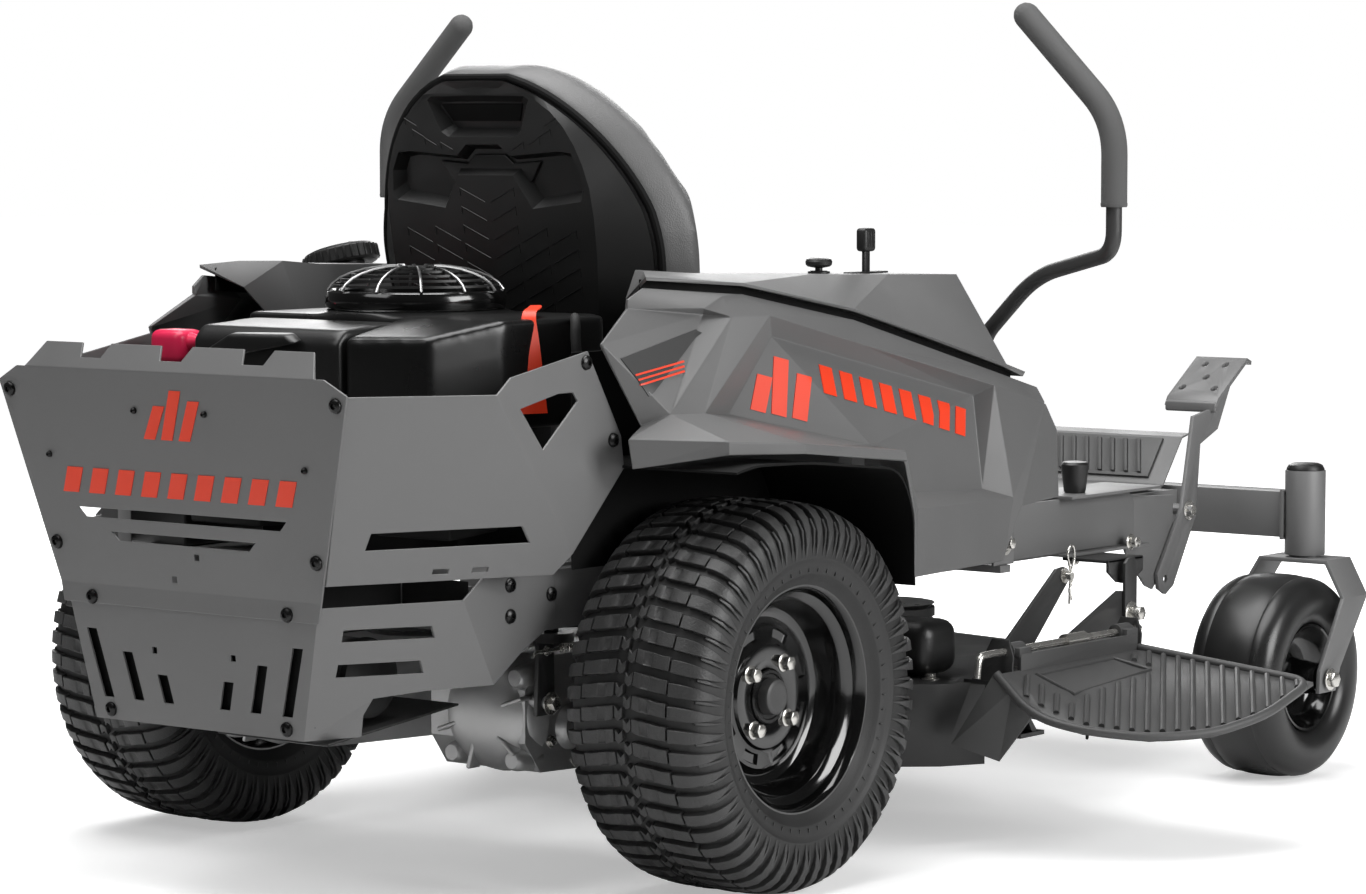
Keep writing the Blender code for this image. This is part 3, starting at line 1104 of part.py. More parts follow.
# Mower deck
def make_deck(deck, chute, spindles):
    outline = strung([(SPINDLE_X, SPINDLE_RIGHT_Y, DECK_RADIUS, 0),
                      (-SPINDLE_X, SPINDLE_LEFT_Y, DECK_RADIUS, 0)],
                     math.tau / 18)
    ring = [(spot[0], spot[1]) for spot in outline]
    faces = [[(x, y, DECK_TOP) for x, y in ring]]
    for (x0, y0), (x1, y1) in zip(ring, ring[1:] + ring[:1]):
        faces.append([(x0, y0, DECK_LOW), (x1, y1, DECK_LOW), (x1, y1, DECK_TOP), (x0, y0, DECK_TOP)])
    shell = part("deck_shell", "black steel", deck, sheet(faces))
    thicken(shell, DECK_STEEL)
    shapes = [block((0.490, 0.566), (CHUTE_EAR_REAR, CHUTE_EAR_FRONT),
                    (DECK_TOP - 0.0015, DECK_TOP + 0.0045))]
    for low in (CHUTE_EAR_REAR, CHUTE_EAR_FRONT - EAR_PLATE):
        shapes.append(prism([(0.500, 0.2215), (0.566, 0.2215), (0.569, 0.262), (0.562, 0.284),
                             (0.535, 0.284)],
                            "Y", low + 0.0003, low + EAR_PLATE - 0.0003))
    hangers = ([(0.564, 0.2205), (0.658, 0.2205), (0.782, 0.335), (0.765, 0.350), (0.745, 0.348)],
               [(0.662, 0.2205), (0.860, 0.2205), (0.912, 0.285), (0.905, 0.305), (0.880, 0.307)])
    for hanger, offset in zip(hangers, (0.0, 0.018)):
        for _, sign in SIDES:
            shift = 0.0 if sign > 0 else 0.05
            shapes.append(prism([(y + shift, z) for y, z in hanger], "X",
                                *span(sign, 0.445 + offset, 0.450 + offset)))
    holes = [block((0.42, 0.70), (0.470, 0.750), (0.05, DECK_TOP - DECK_STEEL - 0.001)),
             rod((CHUTE_ROD_X, 0.40, CHUTE_ROD_Z), (CHUTE_ROD_X, 0.85, CHUTE_ROD_Z), CHUTE_ROD + RUN_GAP)]
    for side, sign in SIDES:
        y = SPINDLE_RIGHT_Y if sign > 0 else SPINDLE_LEFT_Y
        x = sign * SPINDLE_X
        shapes.append(rod((x, y, 0.170), (x, y, 0.262), SPINDLE_HOUSING, 16))
        holes.append(rod((x, y, 0.10), (x, y, 0.30), SPINDLE_RADIUS + RUN_GAP))
        spin = spindles[side]
        wheel = [(BLADE_Z + 0.003 + GAP, 0), (BLADE_Z + 0.003 + GAP, 0.022), (0.1695, 0.022),
                 (0.1695, SPINDLE_RADIUS),
                 (0.2630, SPINDLE_RADIUS), (0.2630, 0.024), (DECK_BELT_Z - 0.012, 0.024)]
        wheel += grooved(DECK_BELT_Z, DECK_PULLEY, 0.012, 0.010) + [(DECK_BELT_Z + 0.012, 0.016),
                                                                    (0.312, 0.014), (0.312, 0)]
        part("spindle_" + side, "steel", spin, turned(wheel, (x, y, 0), (0, 0, 1), 16))
        half, wide = BLADE_LENGTH / 2, BLADE_WIDTH / 2
        steel = 0.003
        section = [(-wide, BLADE_Z - steel), (wide, BLADE_Z - steel), (wide, BLADE_Z + steel),
                   (-wide, BLADE_Z + steel)]
        blade = part("blade_" + side, "steel", spin,
                     prism([(y + a, b) for a, b in section], "X", x - half, x + half))
        sails = []
        for end in (1, -1):
            sail = [(0.0, 0.0), (0.014, 0.0), (0.030, 0.026), (0.026, 0.030)]
            sails.append(prism([(y + end * (wide - 0.012 - a), BLADE_Z + b) for a, b in sail],
                               "X", *span(end, half - 0.110 + end * x, half - 0.002 + end * x)))
        add(blade, spin, *sails)
    add(shell, deck, *shapes)
    cut(shell, deck, *holes)
    pulleys = [(SPINDLE_X, SPINDLE_RIGHT_Y, DECK_PULLEY, DECK_BELT_Z),
               (-SPINDLE_X, SPINDLE_LEFT_Y, DECK_PULLEY, DECK_BELT_Z), (0, CRANK_Y, PTO_PULLEY, PTO_Z)]
    part("deck_belt", "rubber", deck, belt(pulleys, 0.012, 0.009))
    bend = rounded([(CHUTE_ROD_X, 0.796, CHUTE_ROD_Z), (CHUTE_ROD_X, 0.392, CHUTE_ROD_Z),
                    (CHUTE_ROD_X, 0.386, CHUTE_ROD_Z - 0.030)], 0.010)
    part("chute_rod", "zinc", deck, swept(bend, CHUTE_ROD, 12))
    make_chute(chute)


def make_chute(chute):
    corner = (CHUTE_HINGE_X, CHUTE_CORNER, 0.243)
    rear = (CHUTE_HINGE_X, CHUTE_REAR, 0.243)
    tip = (CHUTE_REACH, CHUTE_CORNER - 0.028, 0.222)
    arc = [(0.630, 0.404, 0.192), (0.700, 0.420, 0.176), (0.775, 0.466, 0.168), (0.830, 0.535, 0.171),
           (0.858, 0.625, 0.188), tip]
    columns = 15
    inner = []
    for k in range(columns + 1):
        t = k / columns * 1.6
        inner.append(between(rear, corner, t) if t <= 1 else between(corner, tip, (t - 1) / 0.64))
    outer = []
    for k in range(columns + 1):
        t = k / columns * (len(arc) - 1)
        i = min(int(t), len(arc) - 2)
        outer.append(between(arc[i], arc[i + 1], t - i))
    faces = []
    middle = []
    for near, far in zip(inner, outer):
        spot = between(near, far, 0.5)
        middle.append((spot[0], spot[1], spot[2] + 0.14 * (near[2] - far[2])))
    for a, b in ((inner, middle), (middle, outer)):
        for k in range(columns):
            faces.append([a[k], b[k], b[k + 1], a[k + 1]])
    flap = [(0.526, 0.369, 0.150), (0.580, 0.404, 0.127)]
    faces.append([flap[0], flap[1], outer[0], middle[0], inner[0]])
    leaf = part("discharge_chute", "rubber", chute, sheet(faces))
    thicken(leaf, 0.005)
    shapes = [block((0.5685, 0.5745), (CHUTE_EAR_REAR + 0.012, CHUTE_EAR_FRONT - 0.022),
                    (0.2395, 0.2645))]
    for low, high in ((CHUTE_EAR_REAR + 0.008, CHUTE_EAR_REAR + 0.040),
                      (CHUTE_EAR_FRONT - 0.050, CHUTE_EAR_FRONT - 0.018)):
        shapes.append(turned(((low, CHUTE_ROD + RUN_GAP), (low, 0.011), (high, 0.011),
                              (high, CHUTE_ROD + RUN_GAP)),
                             (CHUTE_ROD_X, 0, CHUTE_ROD_Z), (0, 1, 0), 12))
        shapes.append(block((CHUTE_ROD_X + 0.008, 0.5735), (low + 0.002, high - 0.002), (0.2605, 0.2725)))
    add(leaf, chute, *shapes)


def build():
    for item in list(bpy.data.objects):
        bpy.data.objects.remove(item, do_unlink=True)
    chassis = Body("chassis", (0, 0, 0))
    make_frame(chassis)
    make_foot_deck(chassis)
    make_rear_panel(chassis)
    make_lower_guard(chassis)
    for side, sign in SIDES:
        make_wing(chassis, side, sign)
        make_fender(chassis, side, sign)
        make_console(chassis, side, sign)
    make_tank(chassis, Body("fuel_cap_turn", CAP_CENTRE, chassis))
    make_engine(chassis, Body("engine_spin", (0, CRANK_Y, DRIVE_Z), chassis))
    inputs = {side: Body("input_spin_" + side, (sign * INPUT_X, INPUT_Y, DRIVE_Z), chassis) for side,
              sign in SIDES}
    arms = {side: Body("arm_turn_" + side, (sign * 0.281, ARM_Y, ARM_Z), chassis) for side, sign in SIDES}
    make_drive(chassis, inputs, arms)
    for side, sign in SIDES:
        make_rear_wheel(Body("rear_spin_" + side, (sign * REAR_WHEEL_X, 0, AXLE_HEIGHT), chassis), side,
                        sign)
        swivel = Body("caster_swivel_" + side, (sign * CASTER_X, CASTER_SWIVEL_Y, BARREL_LOW), chassis)
        spin = Body("caster_spin_" + side, (sign * CASTER_X, CASTER_WHEEL_Y, CASTER_HEIGHT), swivel)
        make_caster(swivel, spin, side, sign)
        bracket = Body("lever_stroke_" + side, (sign * 0.335, LEVER_Y, LEVER_Z), chassis)
        make_lever(bracket, Body("lever_swing_" + side, (sign * SWING_X, LEVER_Y, SWING_Z), bracket),
                   side, sign)
    make_seat(Body("seat_tilt", (0, SEAT_HINGE_Y, SEAT_HINGE_Z), chassis))
    make_controls(Body("pedal_turn", (PEDAL_X, PEDAL_Y, PEDAL_Z), chassis),
                  Body("height_pin_slide", (KNOB_X, KNOB_Y, INDEX_Z), chassis),
                  Body("throttle_turn", (THROTTLE_X, THROTTLE_Y, console_top(THROTTLE_Y) - 0.010),
                       chassis),
                  Body("pto_knob_slide", (PTO_KNOB_X, PTO_KNOB_Y, console_top(PTO_KNOB_Y)), chassis))
    deck = Body("deck_lift", (0, SPINDLE_RIGHT_Y, DECK_TOP), chassis)
    spindles = {"right": Body("blade_spin_right", (SPINDLE_X, SPINDLE_RIGHT_Y, DECK_TOP), deck),
                "left": Body("blade_spin_left", (-SPINDLE_X, SPINDLE_LEFT_Y, DECK_TOP), deck)}
    make_deck(deck, Body("chute_swing", (CHUTE_ROD_X, CHUTE_EAR_REAR, CHUTE_ROD_Z), deck), spindles)


build()
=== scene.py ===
"""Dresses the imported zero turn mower: finishes, fine forms, camera, light and floor."""
import math

import bmesh
import bpy
from mathutils import Matrix, Vector
from mathutils.bvhtree import BVHTree


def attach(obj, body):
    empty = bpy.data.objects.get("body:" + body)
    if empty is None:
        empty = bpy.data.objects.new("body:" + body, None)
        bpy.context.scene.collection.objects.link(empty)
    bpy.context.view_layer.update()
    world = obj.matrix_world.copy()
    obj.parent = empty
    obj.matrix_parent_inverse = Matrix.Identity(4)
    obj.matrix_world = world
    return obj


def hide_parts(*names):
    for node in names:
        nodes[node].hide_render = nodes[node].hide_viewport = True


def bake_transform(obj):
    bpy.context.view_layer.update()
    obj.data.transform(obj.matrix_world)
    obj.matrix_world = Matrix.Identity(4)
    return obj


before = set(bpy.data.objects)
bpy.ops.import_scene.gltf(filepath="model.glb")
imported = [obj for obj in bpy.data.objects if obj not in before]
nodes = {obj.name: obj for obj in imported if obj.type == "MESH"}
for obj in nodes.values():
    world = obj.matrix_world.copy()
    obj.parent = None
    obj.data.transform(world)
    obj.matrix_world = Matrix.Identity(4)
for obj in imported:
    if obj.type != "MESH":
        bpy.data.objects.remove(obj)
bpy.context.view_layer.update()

# Lengths below are from the ground point under the rear axle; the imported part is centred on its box
CENTRING = Vector((-0.1009, -0.4178, 0.0))
SIDES = (("right", 1), ("left", -1))
ORIGIN, UP, DOWN, RIGHT, AHEAD, BACK = (0, 0, 0), (0, 0, 1), (0, 0, -1), (1, 0, 0), (0, 1, 0), (0, -1, 0)

# Finishes
CLOUD_DETAIL = 4.0
GLOSS_SWING = 0.3
COAT_ROUGHNESS = 0.08


def grey(level, tint=(1.0, 1.0, 1.0)):
    """Linear colour of a screen grey from 0 to 255"""
    value = level / 255
    value = value / 12.92 if value <= 0.04045 else ((value + 0.055) / 1.055) ** 2.4
    return tuple(value * t for t in tint) + (1.0,)


def calc(tree, operation, *terms):
    """The result of a math node whose inputs are numbers or other nodes' sockets"""
    made = tree.nodes.new("ShaderNodeMath")
    made.operation = operation
    for socket, term in zip(made.inputs, terms):
        if isinstance(term, bpy.types.NodeSocket):
            tree.links.new(term, socket)
        else:
            socket.default_value = term
    return made.outputs[0]


def feed(node, values):
    """Sets a node's inputs by their labels"""
    for label, value in values.items():
        node.inputs[label].default_value = value


def grain_group(name, texture, height):
    """Clouds of tone and gloss, and a fine grain for the bump, all on object coordinates"""
    tree = bpy.data.node_groups.new(name, "ShaderNodeTree")
    for way, labels in (("INPUT", ("Colour", "Spread", "Gloss", "Grain Scale", "Cloud Scale")),
                        ("OUTPUT", ("Colour", "Roughness", "Height"))):
        for label in labels:
            tree.interface.new_socket(name=label, in_out=way,
                                      socket_type="NodeSocketColor" if label == "Colour" else "NodeSocketFloat")
    make, link = tree.nodes.new, tree.links.new
    given, put = make("NodeGroupInput").outputs, make("NodeGroupOutput").inputs
    place = make("ShaderNodeTexCoord").outputs["Object"]
    fine, cloud = make(texture), make("ShaderNodeTexNoise")
    feed(cloud, {"Detail": CLOUD_DETAIL})
    for pattern, scale in ((fine, "Grain Scale"), (cloud, "Cloud Scale")):
        link(place, pattern.inputs["Vector"])
        link(given[scale], pattern.inputs["Scale"])
    swing = calc(tree, "SUBTRACT", cloud.outputs["Fac"], 0.5)
    tone = make("ShaderNodeHueSaturation")
    link(given["Colour"], tone.inputs["Color"])
    link(calc(tree, "MULTIPLY_ADD", swing, given["Spread"], 1.0), tone.inputs["Value"])
    link(tone.outputs["Color"], put["Colour"])
    link(calc(tree, "MULTIPLY_ADD", swing, GLOSS_SWING, given["Gloss"]), put["Roughness"])
    link(fine.outputs[height], put["Height"])
    return tree


STIPPLE = grain_group("stippled_grain", "ShaderNodeTexNoise", "Fac")
PEBBLE = grain_group("pebbled_grain", "ShaderNodeTexVoronoi", "Distance")


def finish(name, slot, colour, rough, metal=0.0, spread=0.25, grain=900.0, cloud=7.0, bump=0.25, depth=0.0004,
           coat=0.0, shine=0.5, pattern=STIPPLE):
    """A Principled material that takes its slot's name along"""
    made = bpy.data.materials.new(name)
    made.use_nodes = True
    tree = made.node_tree
    shader = tree.nodes["Principled BSDF"]
    group = tree.nodes.new("ShaderNodeGroup")
    group.node_tree = pattern
    feed(shader, {"Metallic": metal, "Coat Weight": coat, "Coat Roughness": COAT_ROUGHNESS,
                  "Specular IOR Level": shine})
    feed(group, {"Colour": colour, "Spread": spread, "Gloss": rough, "Grain Scale": grain, "Cloud Scale": cloud})
    dent = tree.nodes.new("ShaderNodeBump")
    feed(dent, {"Strength": bump, "Distance": depth})
    tree.links.new(group.outputs["Height"], dent.inputs["Height"])
    tree.links.new(group.outputs["Colour"], shader.inputs["Base Color"])
    tree.links.new(group.outputs["Roughness"], shader.inputs["Roughness"])
    tree.links.new(dent.outputs["Normal"], shader.inputs["Normal"])
    made["slot"] = slot
    return made


POWDER = finish("powder_coat", "powder", grey(112), 0.48, metal=0.25, spread=0.1, grain=1400, bump=0.22)
DARK_POWDER = finish("dark_powder_coat", "black_steel", grey(58), 0.42, metal=0.2, spread=0.14, grain=1400, bump=0.2)
GLOSS_BLACK = finish("gloss_enamel", "gloss_black", grey(10), 0.14, spread=0.2, grain=60, bump=0.03, coat=0.6)
FENDER = finish("fender_plastic", "moulding", grey(96), 0.44, spread=0.1, grain=2200, bump=0.35, depth=0.0003)
CONSOLE = finish("console_plastic", "moulding", grey(98), 0.48, spread=0.1, grain=2200, bump=0.35, depth=0.0003)
BLACK_PLASTIC = finish("black_plastic", "black_moulding", grey(27), 0.4, spread=0.16, grain=1800, bump=0.3,
                       depth=0.0003)
SHROUD = finish("shroud_plastic", "black_moulding", grey(20), 0.3, spread=0.14, grain=2600, bump=0.25, depth=0.0002)
COVER = finish("cover_plastic", "black_moulding", grey(30), 0.34, spread=0.14, grain=2600, bump=0.25, depth=0.0002)
HEAT_BLACK = finish("heat_paint", "black_steel", grey(18), 0.62, spread=0.3, grain=700, bump=0.2)
# Near-black, low-shine finish for the sheets and strips put where shade falls: painted shade
SHADE_BLACK = finish("painted_shade_black", "black_moulding", grey(9), 0.7, spread=0.2, grain=1200, shine=0.2)
# The tread blocks are a lighter grey than the carcass rubber of the same tyre: painted light on the lug tops
TYRE = finish("tyre_rubber", "tyre", grey(36), 0.56, spread=0.4, grain=420, cloud=16, bump=0.3, depth=0.0006)
TREAD = finish("tread_rubber", "tyre", grey(54), 0.44, spread=0.7, grain=380, cloud=34, bump=0.6, depth=0.0008)
CASTER_TYRE = finish("caster_rubber", "tyre", grey(32), 0.32, spread=0.4, grain=700, cloud=12, bump=0.12)
RUBBER = finish("moulded_rubber", "rubber", grey(66), 0.46, spread=0.25, grain=1500, bump=0.3)
BELT = finish("belt_rubber", "rubber", grey(30), 0.7, spread=0.3, grain=700)
GRIP = finish("grip_foam", "rubber", grey(84), 0.74, spread=0.2, grain=1700, bump=0.6, depth=0.0006, pattern=PEBBLE)
CASTING = finish("cast_aluminium", "casting", grey(178), 0.4, metal=0.7, spread=0.35, grain=420, cloud=16, bump=0.3)
ZINC = finish("zinc_plate", "zinc", grey(214, (1.0, 0.98, 0.93)), 0.24, metal=0.9, spread=0.1, grain=300, cloud=24,
              bump=0.04)
STEEL = finish("bright_steel", "steel", grey(170), 0.32, metal=1.0, spread=0.3, grain=300, cloud=30, bump=0.08)
BOLT = finish("dark_bolt", "steel", grey(46), 0.28, metal=0.8, spread=0.3, grain=300, cloud=60, bump=0.06)
VINYL = finish("seat_vinyl", "vinyl", grey(94), 0.46, spread=0.12, grain=520, bump=0.5, depth=0.0005, pattern=PEBBLE)
STITCH = finish("stitch_thread", "vinyl", grey(70), 0.7, spread=0.2, grain=900)
ORANGE = finish("orange_enamel", "powder", (0.82, 0.048, 0.012, 1.0), 0.42, spread=0.08, grain=1400, bump=0.15)
PATCH = finish("dark_patch", "powder", grey(46), 0.5, spread=0.08, grain=1400, bump=0.1)
CRIMSON = finish("terminal_boot", "rubber", (0.76, 0.022, 0.09, 1.0), 0.36, spread=0.12, grain=1200, bump=0.15)


# Shapes
def outward(shape):
    """The shape with all its faces turned outward"""
    bmesh.ops.recalc_face_normals(shape, faces=shape.faces)
    return shape


def moved(shape, way):
    bmesh.ops.translate(shape, verts=shape.verts, vec=way)
    return shape


def spun(shape, angle):
    """The shape turned about its own Z"""
    bmesh.ops.rotate(shape, cent=ORIGIN, matrix=Matrix.Rotation(angle, 3, "Z"), verts=shape.verts)
    return shape


def aimed(shape, centre, axis):
    """The shape with its own Z turned to axis and its origin put at centre"""
    turn = Vector(UP).rotation_difference(Vector(axis).normalized()).to_matrix().to_4x4()
    bmesh.ops.transform(shape, matrix=Matrix.Translation(Vector(centre)) @ turn, verts=shape.verts)
    return shape


def mesh_of(shape, name):
    """A mesh from a shape that isn't needed any more"""
    mesh = bpy.data.meshes.new(name)
    shape.to_mesh(mesh)
    shape.free()
    return mesh


def placed(name, data):
    """A new object in the scene"""
    made = bpy.data.objects.new(name, data)
    bpy.context.scene.collection.objects.link(made)
    return made


def gathered(*shapes):
    """One shape from several, which aren't needed any more"""
    whole = bmesh.new()
    for shape in shapes:
        mesh = mesh_of(shape, "shape")
        whole.from_mesh(mesh)
        bpy.data.meshes.remove(mesh)
    return whole


def lathe(profile, centre=ORIGIN, axis=UP, steps=48, ring=False):
    """A turned shape from (along, radius) points; a ring's profile closes on itself"""
    shape = bmesh.new()
    line = [shape.verts.new((radius, 0, along)) for along, radius in profile]
    pairs = list(zip(line, line[1:])) + ([(line[-1], line[0])] if ring else [])
    edges = [shape.edges.new(pair) for pair in pairs]
    bmesh.ops.spin(shape, geom=line + edges, cent=ORIGIN, axis=UP, dvec=ORIGIN, angle=math.tau,
                   steps=steps, use_merge=True, use_duplicate=False)
    bmesh.ops.remove_doubles(shape, verts=shape.verts, dist=1e-6)
    return aimed(outward(shape), centre, axis)


def softened(shape, width, segments=2, bend=25.0):
    """The shape with its edges sharper than bend degrees rounded"""
    sharp = [e for e in shape.edges if e.is_manifold and e.calc_face_angle() > math.radians(bend)]
    bmesh.ops.bevel(shape, geom=sharp, offset=width, offset_type="OFFSET", segments=segments, profile=0.5,
                    affect="EDGES", clamp_overlap=True, material=-1)
    return shape


def raised(shape, faces):
    """New points of a second layer over the faces, in the same place"""
    made = bmesh.ops.extrude_face_region(shape, geom=faces, use_keep_orig=True)["geom"]
    return [item for item in made if isinstance(item, bmesh.types.BMVert)]


def slab(corners, push, soft, segments=2):
    """A flat outline pushed out to a solid"""
    shape = bmesh.new()
    face = shape.faces.new([shape.verts.new(corner) for corner in corners])
    bmesh.ops.translate(shape, verts=raised(shape, [face]), vec=push)
    return softened(outward(shape), soft, segments)


def plate(x, outline, thick, soft, segments=2):
    """A slab across X from a side outline of (y, z) points"""
    return slab([(x, y, z) for y, z in outline], (thick, 0, 0), soft, segments)


def brick(low, high, soft, segments=2):
    """A box between two corners with rounded edges"""
    shape = bmesh.new()
    bmesh.ops.create_cube(shape, size=1.0)
    low, high = Vector(low), Vector(high)
    bmesh.ops.scale(shape, vec=high - low, verts=shape.verts)
    return softened(moved(shape, (low + high) / 2), soft, segments)


def bent(points, radius, steps=6):
    """A path with its corners rounded"""
    points = [Vector(point) for point in points]
    path = [points[0]]
    for before, corner, after in zip(points, points[1:], points[2:]):
        reach = min(radius, (before - corner).length * 0.48, (after - corner).length * 0.48)
        start = corner + (before - corner).normalized() * reach
        end = corner + (after - corner).normalized() * reach
        for k in range(steps + 1):
            t = k / steps
            path.append(start * (1 - t) ** 2 + corner * (2 * t * (1 - t)) + end * t * t)
    return path + [points[-1]]


def pipe(points, radius, sides=4, loop=False):
    """A round tube along a path"""
    curve = bpy.data.curves.new("run", "CURVE")
    curve.dimensions = "3D"
    curve.bevel_depth = radius
    curve.bevel_resolution = sides
    curve.use_fill_caps = True
    spline = curve.splines.new("POLY")
    spline.points.add(len(points) - 1)
    for spot, point in zip(spline.points, points):
        spot.co = (*point, 1.0)
    spline.use_cyclic_u = loop
    carrier = bpy.data.objects.new("run", curve)
    mesh = bpy.data.meshes.new_from_object(carrier)
    shape = bmesh.new()
    shape.from_mesh(mesh)
    bmesh.ops.remove_doubles(shape, verts=shape.verts, dist=1e-6)
    bpy.data.objects.remove(carrier)
    bpy.data.curves.remove(curve)
    bpy.data.meshes.remove(mesh)
    return outward(shape)


def coil(start, end, radius, wire, turns):
    """A spring between two points"""
    start, end = Vector(start), Vector(end)
    along = (end - start).normalized()
    side = along.orthogonal().normalized()
    other = along.cross(side)
    steps = turns * 14
    path = []
    for k in range(steps + 1):
        angle = math.tau * turns * k / steps
        path.append(start.lerp(end, k / steps) + (side * math.cos(angle) + other * math.sin(angle)) * radius)
    return pipe(path, wire, 2)


def bolt(spot, axis, across, head, washer):
    """A six-sided head on a washer"""
    cap = bmesh.new()
    bmesh.ops.create_cone(cap, cap_ends=True, segments=6, radius1=across, radius2=across, depth=head)
    softened(moved(cap, (0, 0, head / 2 + 0.0012)), across * 0.14)
    collar = lathe([(0, 0), (0, washer), (0.001, washer), (0.002, washer * 0.86), (0.002, 0)], steps=20)
    return aimed(gathered(cap, collar), spot, axis)


def button(spot, axis, radius=0.0095):
    """A round screw head with a socket"""
    dome = lathe([(0, 0), (0, radius), (0.0012, radius), (0.0034, radius * 0.88), (0.005, radius * 0.58),
                  (0.0053, radius * 0.4), (0.0028, radius * 0.36), (0.0028, 0)], steps=18)
    return aimed(dome, spot, axis)


def copied(node):
    """A CAD node's mesh at the design place"""
    shape = bmesh.new()
    shape.from_mesh(nodes[node].data)
    bmesh.ops.remove_doubles(shape, verts=shape.verts, dist=1e-5)
    bmesh.ops.dissolve_limit(shape, angle_limit=math.radians(1.0), verts=shape.verts, edges=shape.edges,
                             use_dissolve_boundaries=False)
    return moved(shape, -CENTRING)


surfaces = {}


def surface(mesh):
    """A tree for rays at the design place"""
    return BVHTree.FromPolygons([v.co - CENTRING for v in mesh.vertices], [p.vertices for p in mesh.polygons])


def touch(node, spot, direction):
    """Where a ray meets a node or a made cushion, and the normal there"""
    if node not in surfaces:
        surfaces[node] = surface(nodes[node].data)
    where, normal, _, _ = surfaces[node].ray_cast(Vector(spot), Vector(direction))
    return where, normal


def done(shape, name, body, look, stands_for=(), bend=32.0):
    """Makes one shape or a list of them a piece on a body; with no body, it is left on none"""
    if isinstance(shape, list):
        shape = gathered(*shape)
    mesh = mesh_of(moved(shape, CENTRING), name)
    mesh.shade_smooth()
    mesh.set_sharp_from_angle(angle=math.radians(bend))
    mesh.materials.append(look)
    made = placed(name, mesh)
    if body:
        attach(made, body)
    if stands_for:
        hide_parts(*stands_for)
    return made


def refined(node, body, look, width, segments=2, bend=25.0, crease=40.0):
    """A CAD node's own shape with rounded edges"""
    return done(softened(copied(node), width, segments, bend), node + "_form", body, look, (node,), crease)


# Sheet metal and frame
refined("main_frame", "chassis", POWDER, 0.0012)
refined("foot_pan", "chassis", POWDER, 0.0008, 2, 6.0, 9.0)
refined("foot_mat", "chassis", RUBBER, 0.0008)
refined("rear_panel", "chassis", POWDER, 0.001, 2, 4.0, 9.0)
refined("lower_guard", "chassis", POWDER, 0.001, 2, 4.0, 9.0)
for side, sign in SIDES:
    refined("wing_" + side, "chassis", POWDER, 0.001, 2, 4.0, 9.0)
    bead = [(0.4845 * sign, y, z) for y, z in ((1.317, 0.351), (1.369, 0.351), (1.369, 0.4215), (1.317, 0.4215))]
    done(pipe(bead, 0.0035, 3, loop=True), "beam_weld_" + side, "chassis", POWDER)

RIVET = 0.0042
heads = []
for side, sign in SIDES:
    rear = [("rear_panel", x, z, 0.0095) for x, z in ((0.278, 0.64), (0.222, 0.447), (0.167, 0.38))]
    rear += [("rear_panel", x, z, RIVET) for x, z in ((0.06, 0.621), (0.218, 0.5595))]
    rear.append(("lower_guard", 0.151, 0.237, 0.0095))
    for node, x, z, radius in rear:
        heads.append(button(*touch(node, (x * sign, -1.0, z), AHEAD), radius))
    flank = [("lower_guard", y, z) for y, z in ((-0.278, 0.4035), (-0.198, 0.3855), (-0.278, 0.3645))]
    flank += [("wing_" + side, y, z) for y, z in ((-0.222, 0.68), (-0.169, 0.581))]
    for node, y, z in flank:
        heads.append(button(*touch(node, (sign, y, z), (-sign, 0, 0))))
done(heads, "guard_bolts", "chassis", BOLT)


def inlay(node, corners, source, direction, lift=0.001):
    """A thin four-cornered mark laid on a sheet, its points cast onto the sheet from outside"""
    shape = bmesh.new()
    bmesh.ops.create_grid(shape, x_segments=14, y_segments=14, size=0.5)
    a, b, c, d = [Vector(corner) for corner in corners]
    for vert in shape.verts:
        u, v = vert.co.x + 0.5, vert.co.y + 0.5
        spot = a.lerp(b, u).lerp(d.lerp(c, u), v)
        where, _ = touch(node, source(spot), direction)
        if where is None:
            shape.free()
            return bmesh.new()
        vert.co = where - Vector(direction) * lift
    outward(shape)
    bmesh.ops.translate(shape, verts=raised(shape, shape.faces[:]), vec=Vector(direction) * (lift + 0.0005))
    return outward(shape)


def ribbon(near, far, thick):
    """A thin sheet between two lines of the same number of points"""
    shape = bmesh.new()
    edges = []
    for line in (near, far):
        row = [shape.verts.new(point) for point in line]
        edges += [shape.edges.new(pair) for pair in zip(row, row[1:])]
    bmesh.ops.bridge_loops(shape, edges=edges)
    bmesh.ops.solidify(shape, geom=shape.faces[:], thickness=thick)
    return outward(shape)


def slanted(start, end, height, slant):
    """Corners of one slanted bar whose foot runs from start to end in the plane of its sheet"""
    return [start, end, (end[0] + slant, end[1] + height), (start[0] + slant, start[1] + height)]


def from_rear(spot):
    return (spot[0], -1.0, spot[1])


bars = []
for k in range(9):
    x = -0.2 + k * 0.0455
    bars.append(inlay("rear_panel", slanted((x, 0.513), (x + 0.027, 0.513), 0.032, 0.012), from_rear, AHEAD))
for k, high in enumerate((0.042, 0.062, 0.05)):
    x = -0.048 + k * 0.03
    bars.append(inlay("rear_panel", slanted((x, 0.586), (x + 0.019, 0.586), high, 0.022), from_rear, AHEAD))
done(bars, "rear_panel_bars", "chassis", ORANGE)

